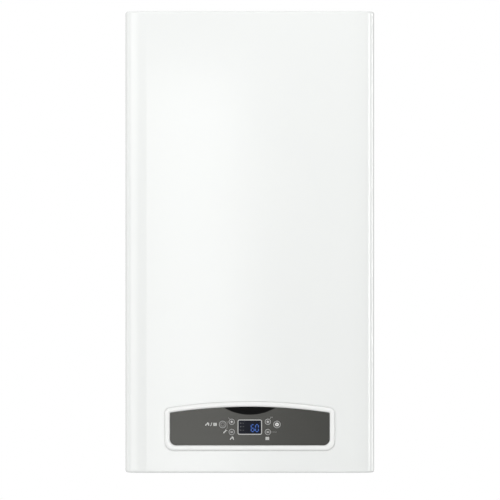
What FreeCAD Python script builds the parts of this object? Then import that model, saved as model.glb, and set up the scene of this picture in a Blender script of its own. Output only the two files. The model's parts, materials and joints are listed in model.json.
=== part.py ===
"""A wall-hung gas combination boiler, built as an assembly of separate pieces.

Millimetres, +Z up, +Y into the wall, the front faces -Y.
The origin is the middle of the wall bracket's two screw holes, on the face of the wall.
Heights in the helper calls are measured up from the casing's bottom edge.
"""

import FreeCAD
import Part
import Sketcher

import math
import os
import re

SIZES = {
    # Casing and back frame
    "case_width": 400,
    "case_height": 740,
    "case_depth": 319,
    "panel_sheet": 0.8,
    "panel_play": 0.3,
    "panel_flange": 14,
    "panel_fold_radius": 1.5,
    "panel_back_gap": 0.5,
    "frame_sheet": 1,
    "frame_inset": 6,
    "frame_lip": 12,
    "wall_gap": 14,
    "top_recess": 16,
    "overrun": 2,
    # Wall bracket
    "hanger_drop": 60,
    "bracket_length": 300,
    "bracket_height": 40,
    "bracket_sheet": 2.5,
    "bracket_hole_radius": 4.5,
    "bracket_hole_spacing": 240,
    "hook_spacing": 160,
    "hook_width": 40,
    "hook_reach": 8,
    "hook_lip": 12,
    "hook_lift": 6,
    "hook_play": 3,
    "hook_slot_height": 24,
    # Front cover
    "cover_depth": 58,
    "cover_seam": 1.5,
    "cover_shoulder_radius": 100,
    "cover_shoulder_angle": 14,
    "cover_corner_radius": 14,
    "cover_edge_radius": 4,
    "cover_floor_depth": 20,
    "cover_peg_radius": 3,
    "cover_peg_length": 24,
    "cover_peg_drop": 28,
    "cover_peg_inset": 50,
    "cover_peg_play": 0.2,
    "cover_tab_height": 8,
    "cover_tab_reach": 16,
    "cover_tab_setback": 53,
    "cover_tab_length": 24,
    "cover_tab_lap": 0.5,
    "cover_screw_inset": 10,
    # Screws
    "screw_radius": 1.9,
    "screw_play": 0.1,
    "screw_head_radius": 3.6,
    "screw_head_height": 2,
    "screw_length": 7,
    # Bottom tray and control box ears
    "tray_height": 22,
    "tray_front_gap": 81,
    "tray_flange": 24,
    "tray_lap": 6,
    "ear_sheet": 2,
    "ear_gap": 1,
    "ear_reach": 10,
    "ear_foot_width": 13,
    "wing_reach": 16,
    "wing_height": 38,
    "wing_play": 1.5,
    "wing_screw_inset": 9,
    "wing_screw_lift": 24,
    # Sealed chamber and door
    "chamber_side_gap": 18,
    "chamber_base": 285,
    "door_space": 19,
    "door_rim": 16,
    "door_top_band": 40,
    "door_top_gap": 28,
    "door_edge_gap": 4,
    "door_rib_inset": 40,
    "door_rib_width": 8,
    "door_rib_height": 2,
    "seal_depth": 3,
    "seal_width": 6,
    "seal_gap": 0.5,
    "door_screw_inset": 3,
    "sight_radius": 10,
    "sight_rim": 4,
    "sight_height": 2,
    "sight_lift": 30,
    "sight_play": 0.1,
    # Burner and flame space
    "stack_back": 130,
    "stack_front_gap": 18,
    "stack_side_gap": 52,
    "burner_height": 62,
    "bar_width": 9,
    "bar_pitch": 20,
    "bar_drop": 4,
    "bar_height": 44,
    "bar_front_gap": 32,
    "rail_depth": 14,
    "rail_lift": 16,
    "rail_front_gap": 6,
    "injector_radius": 3.5,
    "injector_gap": 0.4,
    "board_depth": 12,
    "electrode_radius": 4,
    "electrode_tip_radius": 1,
    "electrode_tip_length": 30,
    "electrode_length": 32,
    "electrode_inset": 22,
    "electrode_lift": 18,
    "electrode_spacing": 24,
    "electrode_play": 0.2,
    # Heat exchanger
    "fin_height": 56,
    "fin_pitch": 8,
    "fin_sheet": 0.8,
    "fin_play": 0.05,
    "tube_radius": 7.5,
    "tube_wall": 1,
    "tube_edge_gap": 20,
    "tube_pitch_least": 24,
    "tube_bend_lead": 3,
    "tube_end_lead": 12,
    # Flue hood, fan and flue collar
    "flue_depth": 150,
    "flue_radius": 30.2,
    "flue_wall": 1.2,
    "flue_play": 0.3,
    "flue_drop": 12,
    "flue_stand": 14,
    "air_radius": 50,
    "air_hole_radius": 6,
    "collar_width": 116,
    "collar_sheet": 2,
    "hood_height": 30,
    "duct_gap": 0.5,
    "duct_half": 42,
    "duct_rise": 44,
    "fan_offset": 38,
    "fan_head": 66,
    "fan_radius": 58,
    "fan_gap": 2,
    "fan_depth": 66,
    "fan_port_radius": 30,
    "fan_shaft_radius": 4,
    "fan_shaft_length": 24,
    "shaft_play": 0.05,
    "impeller_radius": 48,
    "impeller_gap": 6,
    "impeller_hub_radius": 10,
    "impeller_disc": 1.5,
    "impeller_blade_reach": 13,
    "motor_radius": 32,
    "motor_length": 40,
    "motor_cap_radius": 24,
    "motor_cap_length": 10,
    "switch_radius": 30,
    "switch_depth": 26,
    "switch_out": 215,
    "switch_drop": 76,
    "switch_port_radius": 3,
    "switch_port_length": 10,
    "silicone_radius": 3.5,
    "silicone_wall": 1.2,
    "silicone_bend": 16,
    "silicone_port_drop": 36,
    # Expansion vessel
    "vessel_depth": 66,
    "vessel_play": 1,
    "vessel_side_gap": 50,
    "vessel_height": 320,
    "vessel_base": 350,
    "vessel_round": 20,
    "vessel_sheet": 1.5,
    "vessel_seam": 4,
    "vessel_seam_out": 5,
    "vessel_pipe_inset": 88,
    "vessel_pipe_out": 48,
    "vessel_pipe_height": 80,
    "vessel_pipe_radius": 5,
    "vessel_pipe_bend": 18,
    "vessel_stub_radius": 9,
    "vessel_stub_length": 14,
    # Connections and the two valve groups
    "pipe_depth": 150,
    "connection_inset": 66,
    "connection_end": 4,
    "big_thread_radius": 13.22,
    "big_bore_radius": 9.5,
    "small_thread_radius": 10.48,
    "small_bore_radius": 7.5,
    "big_nut_radius": 17,
    "small_nut_radius": 14,
    "nut_base": 27,
    "nut_height": 9,
    "hole_play": 1,
    "group_base": 42,
    "group_height": 58,
    "group_depth": 64,
    "group_inner_gap": 19,
    "group_outer_lap": 26,
    "group_port_radius": 14,
    "group_port_height": 18,
    "flow_port_offset": 44,
    # Diverter valve
    "diverter_radius": 19,
    "diverter_height": 42,
    "diverter_cavity_radius": 14,
    "diverter_floor": 14,
    "diverter_motor_width": 44,
    "diverter_motor_height": 62,
    "spindle_radius": 4,
    "spindle_disc_radius": 12,
    "spindle_disc_height": 5,
    "spindle_lift": 10,
    "spindle_reach": 18,
    "spindle_bore": 32,
    # Pump
    "pipe_jog": 42,
    "pump_height": 188,
    "pump_radius": 46,
    "pump_port_radius": 16,
    "pump_port_height": 52,
    "pump_cavity_radius": 36,
    "pump_cavity_depth": 28,
    "pump_motor_radius": 42,
    "pump_motor_length": 74,
    "pump_box_width": 54,
    "pump_box_depth": 44,
    "pump_box_height": 18,
    "pump_box_gap": 12,
    "pump_wheel_radius": 32,
    "pump_wheel_width": 16,
    "pump_wheel_disc": 3,
    "pump_wheel_gap": 4,
    "pump_shaft_radius": 5,
    "pump_shaft_length": 26,
    "vent_offset": 33,
    "vent_boss_radius": 9,
    "vent_boss_top": 46,
    "vent_radius": 12,
    "vent_height": 34,
    "vent_cap_radius": 6,
    "vent_cap_height": 6,
    # Heating pipes and sensors
    "pipe_radius": 9,
    "pipe_wall": 1,
    "pipe_bend": 18,
    "pipe_side_inset": 38,
    "flow_bend_height": 244,
    "return_bend_height": 263,
    "sensor_play": 0.05,
    "sensor_ring": 3,
    "sensor_height": 12,
    "sensor_block": 10,
    "sensor_block_length": 16,
    # Plate heat exchanger
    "plate_width": 190,
    "plate_depth": 58,
    "plate_base": 46,
    "plate_height": 76,
    "plate_round": 10,
    "plate_wall": 5,
    "plate_port_radius": 6,
    "plate_port_inset": 20,
    "plate_port_lift": 14,
    # Safety valve and filling tap
    "safety_inset": 100,
    "safety_height": 74,
    "safety_radius": 13,
    "safety_length": 24,
    "safety_outlet_radius": 8,
    "safety_outlet_bore": 6,
    "safety_collar_radius": 10,
    "safety_collar_base": 32,
    "safety_outlet_end": 6,
    "safety_knob_radius": 13,
    "safety_knob_length": 18,
    "safety_knob_gap": 2,
    "safety_stem_radius": 4,
    "safety_stem_length": 12,
    "grip_width": 6,
    "grip_height": 4,
    "fill_stem_radius": 4,
    "fill_stem_length": 14,
    "fill_knob_radius": 10,
    "fill_knob_base": 5,
    "fill_knob_height": 9,
    # Pressure gauge
    "gauge_radius": 16,
    "gauge_face": 6,
    "gauge_top": 34,
    "gauge_stem_radius": 6,
    "gauge_recess": 4,
    "gauge_rim": 2,
    "needle_length": 11,
    "needle_tail": 4,
    "needle_width": 1.6,
    "needle_sheet": 0.8,
    "needle_gap": 1,
    "needle_pivot_radius": 1.2,
    "needle_pivot_length": 6,
    # Gas valve and pipes
    "gas_valve_width": 80,
    "gas_valve_depth": 70,
    "gas_valve_base": 160,
    "gas_valve_height": 72,
    "gas_port_radius": 14,
    "gas_port_height": 8,
    "gas_coil_radius": 16,
    "gas_coil_length": 34,
    "gas_coil_spacing": 38,
    "gas_cap_radius": 12,
    "gas_cap_length": 16,
    "gas_pipe_radius": 9,
    "gas_pipe_wall": 1,
    "burner_pipe_radius": 7,
    "burner_pipe_height": 264,
    # Control box
    "control_side_gap": 20,
    "control_base": 24,
    "control_height": 112,
    "control_depth": 72,
    "control_front_gap": 3,
    "control_wall": 2.2,
    "control_round": 4,
    "lid_sheet": 2,
    "lid_rib_height": 3,
    "lid_rib_width": 3,
    "pivot_lift": 12,
    "pivot_setback": 24,
    "pivot_radius": 4,
    "boss_radius": 4,
    "boss_length": 10,
    "board_width": 190,
    "board_height": 78,
    "board_sheet": 1.6,
    "board_centre_height": 79,
    "transformer_width": 42,
    "transformer_depth": 32,
    "relay_width": 16,
    "relay_height": 24,
    "relay_depth": 15,
    "relay_spacing": 20,
    # Bezel, fascia and badge
    "bezel_width": 272.5,
    "bezel_base": 36,
    "bezel_peak": 114.6,
    "bezel_corner_radius": 14,
    "bezel_shoulder_radius": 9,
    "bezel_depth": 6.2,
    "bezel_edge_radius": 3.5,
    "bezel_gap": 0.9,
    "bezel_rim": 8.4,
    "arch_radius": 854,
    "fascia_play": 0.15,
    "fascia_depth": 3.6,
    "fascia_corner_radius": 10,
    "fascia_shoulder_radius": 2,
    "badge_width": 83.5,
    "badge_drop": 12.7,
    "badge_sheet": 0.4,
    # Display and buttons
    "display_width": 39.1,
    "display_height": 24.2,
    "display_round": 3,
    "display_centre_height": 73.6,
    "display_play": 0.15,
    "window_inset": 4,
    "button_across": 28.9,
    "button_upper_height": 82.1,
    "button_lower_height": 65.8,
    "button_radius": 4.7,
    "round_button_across": 43.5,
    "round_button_height": 77.9,
    "round_button_radius": 5.7,
    "button_play": 0.35,
    "button_stand": 0.7,
    "button_flange": 1.5,
    "button_flange_depth": 1.4,
    "button_flange_gap": 0.25,
    "button_stem_radius": 2.4,
    "button_edge_radius": 0.5,
    "button_travel": 0.9,
    "button_stop_gap": 0.4,
    # Cable gland
    "gland_across": 33,
    "gland_out": 212,
    "gland_radius": 11,
    "gland_shank_radius": 8,
    "gland_bore_radius": 4.5,
    "gland_drop": 10,
    "gland_nut_height": 6,
    "gland_play": 0.2,
}

# Sizes that follow others, worked out in the sheet
FOLLOWING = {
    "cover_peg_spacing": "case_width - 2 * cover_peg_inset",
    "cover_tab_inner": "case_width / 2 - cover_tab_reach",
    "cover_tab_near": "case_depth - cover_tab_setback",
    "cover_screw_across": "case_width / 2 - cover_screw_inset",
    "tray_depth": "case_depth - tray_front_gap",
    "wing_inner": "case_width / 2 - wing_reach",
    "wing_screw_across": "case_width / 2 - wing_screw_inset",
    "vessel_width": "case_width - 2 * vessel_side_gap",
    "pipe_side": "case_width / 2 - pipe_side_inset",
    "pump_across": "case_width / 2 - pipe_side_inset - pipe_jog",
    "control_width": "case_width - 2 * control_side_gap",
    "connection_spacing": "(case_width / 2 - connection_inset) / 2",
    "safety_across": "case_width / 2 - safety_inset",
    "vessel_pipe_across": "case_width / 2 - vessel_pipe_inset",
    "flow_port_across": "case_width / 2 - connection_inset - flow_port_offset",
    "fill_across": "3 * (case_width / 2 - connection_inset) / 4",
    "gauge_across": "3 * (case_width / 2 - connection_inset) / 4",
}

# Counts and shares
BLADES = 24
VANES = 6
AIR_HOLES = 8
NUT_SIDES = 6
FULL_TURN = 360
HALF_TURN = 180
QUARTER_TURN = 90

# Places that several pieces share: distances out from the wall, half widths and heights
HALF = "(case_width / 2)"
FRAME_HALF = "(case_width / 2 - panel_sheet - panel_play)"
FRAME_FACE = "(wall_gap + frame_sheet)"
FLANGE_TIP = "(wall_gap + frame_sheet + vessel_depth + vessel_play)"
PANEL_FRONT = "(case_depth - cover_depth - cover_seam)"
CHAMBER_HALF = "(case_width / 2 - chamber_side_gap)"
CHAMBER_INNER_BACK = "(wall_gap + 2 * frame_sheet + vessel_depth + vessel_play)"
CHAMBER_FRONT = "(case_depth - door_space)"
CHAMBER_TOP = "(case_height - top_recess)"
DOOR_BACK = f"({CHAMBER_FRONT} + seal_depth)"
DOOR_FACE = f"({DOOR_BACK} + frame_sheet)"
DOOR_HALF = f"({CHAMBER_HALF} - door_edge_gap)"
DOOR_BASE = "(chamber_base + door_edge_gap)"
DOOR_TOP = f"({CHAMBER_TOP} - door_top_gap)"
STACK_HALF = f"({CHAMBER_HALF} - stack_side_gap)"
STACK_FRONT = f"({CHAMBER_FRONT} - stack_front_gap)"
BURNER_BASE = "(chamber_base + frame_sheet)"
BURNER_TOP = f"({BURNER_BASE} + burner_height)"
FAN_HEIGHT = f"({CHAMBER_TOP} - frame_sheet - fan_head)"
FAN_BACK = "(flue_depth - fan_depth / 2)"
FAN_FRONT = "(flue_depth + fan_depth / 2)"
HOOD_TOP = f"({FAN_HEIGHT} - fan_radius - fan_gap)"
HOOD_BASE = f"({HOOD_TOP} - hood_height)"
FIN_BASE = f"({HOOD_BASE} - fin_height)"
TUBE_HEIGHT = f"({FIN_BASE} + fin_height / 2)"
TUBE_SPAN = f"({STACK_FRONT} - tube_edge_gap - pipe_depth)"
TUBE_LAST = f"({STACK_FRONT} - tube_edge_gap)"
TUBE_END = f"({STACK_HALF} + tube_end_lead)"
SIGHT_HEIGHT = f"({BURNER_TOP} + sight_lift)"
SIGHT_HOLE = "(sight_radius + sight_play)"
ELECTRODE_HEIGHT = f"({BURNER_TOP} + electrode_lift)"
RAIL_FRONT = f"({STACK_FRONT} - frame_sheet - rail_front_gap)"
RAIL_BACK = f"({RAIL_FRONT} - rail_depth)"
BAR_FRONT = f"({STACK_FRONT} - bar_front_gap)"
GROUP_BACK = "(pipe_depth - group_depth / 2)"
GROUP_FRONT = "(pipe_depth + group_depth / 2)"
GROUP_TOP = "(group_base + group_height)"
PUMP_TOP = "(pump_height + pump_port_height)"
DIVERTER_TOP = "(group_base + group_height + diverter_height)"
GAS_VALVE_TOP = "(gas_valve_base + gas_valve_height)"
CONTROL_FRONT = "(case_depth - panel_sheet - control_front_gap)"
CONTROL_BACK = f"({CONTROL_FRONT} - control_depth)"
CONTROL_HALF = "(control_width / 2)"
CONTROL_TOP = "(control_base + control_height)"
PIVOT_OUT = f"({CONTROL_FRONT} - pivot_setback)"
PIVOT_HEIGHT = "(control_base + pivot_lift)"
FASCIA_FACE = f"({CONTROL_FRONT} + fascia_depth)"
FASCIA_BASE = "(bezel_base + bezel_rim)"
FASCIA_PEAK = "(bezel_peak - bezel_rim)"
FASCIA_HALF = "(bezel_width / 2 - bezel_rim)"
BOARD_FACE = f"({CONTROL_FRONT} - control_wall - boss_length)"
EAR_INNER = "(control_width / 2 + ear_gap)"
TAB_MIDDLE = "(cover_tab_near + cover_tab_length / 2)"
CONNECTIONS = {
    "flow": ("-2 * connection_spacing", "big"),
    "hot": ("-connection_spacing", "small"),
    "gas": ("0", "big"),
    "cold": ("connection_spacing", "small"),
    "return": ("2 * connection_spacing", "big"),
}
SIDES = {"left": "-1", "right": "1"}

doc = FreeCAD.newDocument("Boiler")
sheet = doc.addObject("Spreadsheet::Sheet", "Sizes")
pieces = []


def fill_sheet():
    """Write every driving size into the sheet under its own name."""
    rows = [(name, str(size)) for name, size in SIZES.items()]
    rows += [(name, f"={rule}") for name, rule in FOLLOWING.items()]
    for row, (name, content) in enumerate(rows, start=1):
        sheet.set(f"A{row}", name)
        sheet.set(f"B{row}", content)
        sheet.setAlias(f"B{row}", name)
    doc.recompute()


def cells(expression):
    """Point every size name in an expression at its cell."""
    return re.sub(r"[a-z][a-z_]*", sheet_name, expression)


def sheet_name(word):
    name = word.group(0)
    return f"Sizes.{name}" if name in SIZES or name in FOLLOWING else name


def value(expression):
    """The number that an expression of sizes comes to."""
    return float(sheet.evalExpression(cells(expression)))


def bind(thing, settings):
    for target, expression in settings.items():
        thing.setExpression(target, cells(expression))


def up(height):
    """A height above the casing's bottom edge, in the part's own frame."""
    return f"hanger_drop - case_height + {height}"


def spot(across, out, height):
    """A point from its place across, its distance out from the wall and its height."""
    return FreeCAD.Vector(value(across), -value(out), value(up(height)))


def span(start, end):
    """The start and size of a stretch between two places."""
    return (start, f"({end}) - ({start})")


def out(near, far):
    """The start and size along Y of a stretch between two distances out from the wall."""
    return (f"-({far})", f"({far}) - ({near})")


def mid(centre, size):
    """The start and size of a stretch about its centre."""
    return (f"({centre}) - ({size}) / 2", size)


def piece(name, thing):
    """Keep an object as one named piece of the assembly."""
    thing.Label = name
    pieces.append(thing)
    return thing


def block(name, x, y, z):
    box = doc.addObject("Part::Box", name)
    bind(box, {
        "Length": x[1],
        "Width": y[1],
        "Height": z[1],
        "Placement.Base.x": x[0],
        "Placement.Base.y": y[0],
        "Placement.Base.z": up(z[0]),
    })
    return box


TURNS = {
    "up": ((0, 0, 1), 0),
    "down": ((1, 0, 0), HALF_TURN),
    "front": ((1, 0, 0), QUARTER_TURN),
    "back": ((1, 0, 0), -QUARTER_TURN),
    "right": ((0, 1, 0), QUARTER_TURN),
    "left": ((0, 1, 0), -QUARTER_TURN),
}


def stand(thing, place, way):
    """Put a turned primitive with its foot at a place, pointing one way."""
    axis, turn = TURNS[way]
    thing.Placement = FreeCAD.Placement(FreeCAD.Vector(), FreeCAD.Rotation(FreeCAD.Vector(*axis), turn))
    bind(thing, {
        "Placement.Base.x": place[0],
        "Placement.Base.y": f"-({place[1]})",
        "Placement.Base.z": up(place[2]),
    })
    return thing


def rod(name, radius, length, place, way):
    round_bar = doc.addObject("Part::Cylinder", name)
    bind(round_bar, {"Radius": radius, "Height": length})
    return stand(round_bar, place, way)


def nut(name, radius, length, place, way):
    hexagon = doc.addObject("Part::Prism", name)
    hexagon.Polygon = NUT_SIDES
    bind(hexagon, {"Circumradius": radius, "Height": length})
    return stand(hexagon, place, way)


def join(name, members):
    fused = doc.addObject("Part::MultiFuse", name)
    fused.Shapes = members
    fused.Refine = True
    return fused


def cut(name, base, tools):
    less = doc.addObject("Part::Cut", name)
    less.Base = base
    less.Tool = tools[0] if len(tools) == 1 else join(f"{name}_tools", tools)
    less.Refine = True
    return less


def group(name, members):
    kept = doc.addObject("Part::Compound", name)
    kept.Links = members
    return kept


def formed(name, shape):
    """A shape that needs a sweep or a round of copies."""
    feature = doc.addObject("Part::Feature", name)
    feature.Shape = shape
    return feature


def soften(name, base, radius, keep):
    """Round the edges of an object that a test picks out."""
    doc.recompute()
    picked = [number for number, edge in enumerate(base.Shape.Edges, start=1) if keep(edge)]
    rounded = doc.addObject("Part::Fillet", name)
    rounded.Base = base
    rounded.Edges = [(number, value(radius), value(radius)) for number in picked]
    return rounded


def runs_along(edge, axis):
    """Whether an edge is straight and parallel to an axis."""
    if edge.Curve.TypeId != "Part::GeomLine":
        return False
    return edge.Curve.Direction.cross(axis).Length < Part.Precision.confusion()


X_AXIS = FreeCAD.Vector(1, 0, 0)
Y_AXIS = FreeCAD.Vector(0, 1, 0)
Z_AXIS = FreeCAD.Vector(0, 0, 1)


def bent_path(points, bend):
    """A wire through the points, with an arc of one radius at each corner."""
    edges = []
    start = points[0]
    for before, corner, after in zip(points, points[1:], points[2:]):
        into = (corner - before).normalize()
        away = (after - corner).normalize()
        half_angle = into.getAngle(away) / 2
        reach = bend * math.tan(half_angle)
        first = corner - into * reach
        last = corner + away * reach
        inward = (away - into).normalize()
        middle = corner + inward * (bend / math.cos(half_angle) - bend)
        if (first - start).Length > Part.Precision.confusion():
            edges.append(Part.LineSegment(start, first).toShape())
        edges.append(Part.Arc(first, middle, last).toShape())
        start = last
    edges.append(Part.LineSegment(start, points[-1]).toShape())
    return Part.Wire(edges)


def swept(path, radius):
    start = path.Edges[0]
    begin = start.valueAt(start.FirstParameter)
    ring = Part.Wire(Part.Circle(begin, start.tangentAt(start.FirstParameter), radius).toShape())
    return path.makePipeShell([ring], True, False)


def tube(name, points, bend, radius, wall):
    """A hollow tube along a bent path."""
    path = bent_path(points, value(bend))
    outside = swept(path, value(radius))
    inside = swept(path, value(radius) - value(wall))
    return formed(name, outside.cut(inside))


def new_body(name, role, out_from_wall):
    """A body with an empty sketch on one of its own planes, set out from the wall."""
    body = doc.addObject("PartDesign::Body", name)
    sketch = body.newObject("Sketcher::SketchObject", f"{name}_sketch")
    plane = [feature for feature in body.Origin.OriginFeatures if feature.Role == role][0]
    sketch.AttachmentSupport = [(plane, "")]
    sketch.MapMode = "FlatFace"
    bind(body, {
        "Placement.Base.y": f"-({out_from_wall})",
        "Placement.Base.z": up("0"),
    })
    return body, sketch


def draw_loop(sketch, edges, smooth):
    """Add a closed loop; smooth says for each edge whether it runs on without a corner."""
    first = sketch.GeometryCount
    for edge in edges:
        sketch.addGeometry(edge, False)
    for number, runs_on in enumerate(smooth):
        here = first + number
        following = first + (number + 1) % len(edges)
        kind = "Tangent" if runs_on else "Coincident"
        sketch.addConstraint(Sketcher.Constraint(kind, here, 2, following, 1))
    return first


def hold_radius(sketch, geometry, name, expression):
    number = sketch.addConstraint(Sketcher.Constraint("Radius", geometry, value(expression)))
    sketch.renameConstraint(number, name)
    bind(sketch, {f"Constraints.{name}": expression})


def line(start, end):
    return Part.LineSegment(FreeCAD.Vector(*start, 0), FreeCAD.Vector(*end, 0))


def arc(centre, radius, start, end):
    """An arc, counter-clockwise between two angles in degrees."""
    circle = Part.Circle(FreeCAD.Vector(*centre, 0), Z_AXIS, radius)
    return Part.ArcOfCircle(circle, math.radians(start), math.radians(end))


def pad(body, sketch, length):
    grown = body.newObject("PartDesign::Pad", f"{body.Name}_pad")
    grown.Profile = sketch
    bind(grown, {"Length": length})
    doc.recompute()
    return grown


def round_edges(body, base, radius, keep):
    rounded = body.newObject("PartDesign::Fillet", f"{base.Name}_round")
    rounded.Base = (base, [f"Edge{n}" for n, edge in enumerate(base.Shape.Edges, start=1) if keep(edge)])
    bind(rounded, {"Radius": radius})
    doc.recompute()
    return rounded


def panel_loop(sketch, tag, half, base, peak, corner, shoulder):
    """A flat-bottomed outline with rounded lower corners under a shallow arch."""
    half_width = value(half)
    low = value(base)
    low_radius = value(corner)
    top_radius = value(shoulder)
    arch = value("arch_radius")
    arch_centre = value(peak) - arch
    reach = math.sqrt((arch - top_radius) ** 2 - (half_width - top_radius) ** 2)
    eave = arch_centre + reach
    lean = math.degrees(math.atan2(reach, half_width - top_radius))
    edges = [
        line((low_radius - half_width, low), (half_width - low_radius, low)),
        arc((half_width - low_radius, low + low_radius), low_radius, -QUARTER_TURN, 0),
        line((half_width, low + low_radius), (half_width, eave)),
        arc((half_width - top_radius, eave), top_radius, 0, lean),
        arc((0, arch_centre), arch, lean, HALF_TURN - lean),
        arc((top_radius - half_width, eave), top_radius, HALF_TURN - lean, HALF_TURN),
        line((-half_width, eave), (-half_width, low + low_radius)),
        arc((low_radius - half_width, low + low_radius), low_radius, HALF_TURN, HALF_TURN + QUARTER_TURN),
    ]
    first = draw_loop(sketch, edges, [True] * len(edges))
    hold_radius(sketch, first + 1, f"{tag}_low_right", corner)
    hold_radius(sketch, first + 7, f"{tag}_low_left", corner)
    hold_radius(sketch, first + 3, f"{tag}_top_right", shoulder)
    hold_radius(sketch, first + 5, f"{tag}_top_left", shoulder)
    hold_radius(sketch, first + 4, f"{tag}_arch", "arch_radius")


def at_y(edge, y):
    """Whether an edge lies wholly at one distance in its body's own frame."""
    box = edge.BoundBox
    near = Part.Precision.confusion()
    return abs(box.YMin - y) < near and abs(box.YMax - y) < near


def make_back_frame():
    rim_outer = block("frame_rim_outer", mid("0", f"2 * {FRAME_HALF}"), out("0", "wall_gap"),
                      span("frame_inset", "case_height - frame_inset"))
    rim_inner = block("frame_rim_inner", mid("0", f"2 * ({FRAME_HALF} - frame_sheet)"),
                      out("-overrun", "wall_gap + overrun"),
                      span("frame_inset + frame_sheet", "case_height - frame_inset - frame_sheet"))
    members = [
        cut("frame_rim", rim_outer, [rim_inner]),
        block("frame_plate", mid("0", f"2 * {FRAME_HALF}"), out("wall_gap", FRAME_FACE),
              span("frame_inset", "case_height - frame_inset")),
    ]
    members.append(block("frame_roof", mid("0", f"2 * {FRAME_HALF}"), out("wall_gap", FLANGE_TIP),
                         span(f"{CHAMBER_TOP} - frame_sheet", CHAMBER_TOP)))
    for side, sign in SIDES.items():
        members.append(block(f"frame_flange_{side}",
                             mid(f"{sign} * ({FRAME_HALF} - frame_sheet / 2)", "frame_sheet"),
                             out("wall_gap", FLANGE_TIP),
                             span("frame_inset", "case_height - frame_inset")))
        members.append(block(f"frame_lip_{side}",
                             mid(f"{sign} * ({FRAME_HALF} - frame_lip / 2)", "frame_lip"),
                             out(f"{FLANGE_TIP} - frame_sheet", FLANGE_TIP),
                             span("chamber_base", CHAMBER_TOP)))
    slots = []
    for side, sign in SIDES.items():
        slots.append(block(f"hook_slot_{side}",
                           mid(f"{sign} * hook_spacing / 2", "hook_width + 2 * hook_play"),
                           out("wall_gap - overrun", f"{FRAME_FACE} + overrun"),
                           span(f"{HOOK_TOP} - hook_slot_height", HOOK_TOP)))
    piece("back_frame", cut("frame_slotted", join("frame_whole", members), slots))


HOOK_TOP = "(case_height - hanger_drop + hook_lift + bracket_sheet)"


def make_wall_bracket():
    members = [block("bracket_bar", mid("0", "bracket_length"), out("0", "bracket_sheet"),
                     mid("case_height - hanger_drop", "bracket_height"))]
    tip = f"({FRAME_FACE} + hook_reach)"
    holes = []
    for side, sign in SIDES.items():
        hook_x = mid(f"{sign} * hook_spacing / 2", "hook_width")
        members.append(block(f"hook_shelf_{side}", hook_x, out("0", tip),
                             span(f"{HOOK_TOP} - bracket_sheet", HOOK_TOP)))
        members.append(block(f"hook_lip_{side}", hook_x, out(f"{tip} - bracket_sheet", tip),
                             span(f"{HOOK_TOP} - bracket_sheet", f"{HOOK_TOP} + hook_lip")))
        holes.append(rod(f"bracket_hole_{side}", "bracket_hole_radius", "bracket_sheet + 2 * overrun",
                         (f"{sign} * bracket_hole_spacing / 2", "-overrun",
                          "case_height - hanger_drop"), "front"))
    piece("wall_bracket", cut("bracket_drilled", join("bracket_whole", members), holes))


def make_side_panel(side, sign):
    sheet_x = mid(f"{sign} * ({HALF} - panel_sheet / 2)", "panel_sheet")
    flange_x = mid(f"{sign} * ({HALF} - panel_flange / 2)", "panel_flange")
    depth = out("panel_back_gap", PANEL_FRONT)
    members = [
        block(f"{side}_sheet", sheet_x, depth, span("0", "case_height")),
        block(f"{side}_front", flange_x, out(f"{PANEL_FRONT} - panel_sheet", PANEL_FRONT),
              span("0", "case_height")),
        block(f"{side}_top", flange_x, depth, span("case_height - panel_sheet", "case_height")),
        block(f"{side}_floor", flange_x, depth, span("0", "panel_sheet")),
    ]
    whole = join(f"{side}_whole", members)
    face = value(f"{sign} * {HALF}")
    lowest = value(up("0"))
    highest = value(up("case_height"))
    front = -value(PANEL_FRONT)

    def outer_fold(edge):
        box = edge.BoundBox
        near = Part.Precision.confusion()
        if abs(box.XMin - face) > near or abs(box.XMax - face) > near:
            return False
        along_floor = abs(box.ZMax - lowest) < near
        along_top = abs(box.ZMin - highest) < near
        along_front = abs(box.YMax - front) < near
        return along_floor or along_top or along_front

    folded = soften(f"{side}_folded", whole, "panel_fold_radius", outer_fold)
    holes = [rod(f"{side}_hole_{level}", "screw_radius + screw_play", "panel_sheet + 2 * overrun",
                 (f"{sign} * wing_screw_across", f"{PANEL_FRONT} - panel_sheet - overrun",
                  height), "front")
             for level, height in WING_SCREWS.items()]
    piece(f"{side}_side_panel", cut(f"{side}_drilled", folded, holes))


WING_SCREWS = {
    "lower": "(tray_height + wing_screw_lift)",
    "upper": f"({CHAMBER_TOP} - wing_height + wing_screw_lift)",
}


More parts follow.
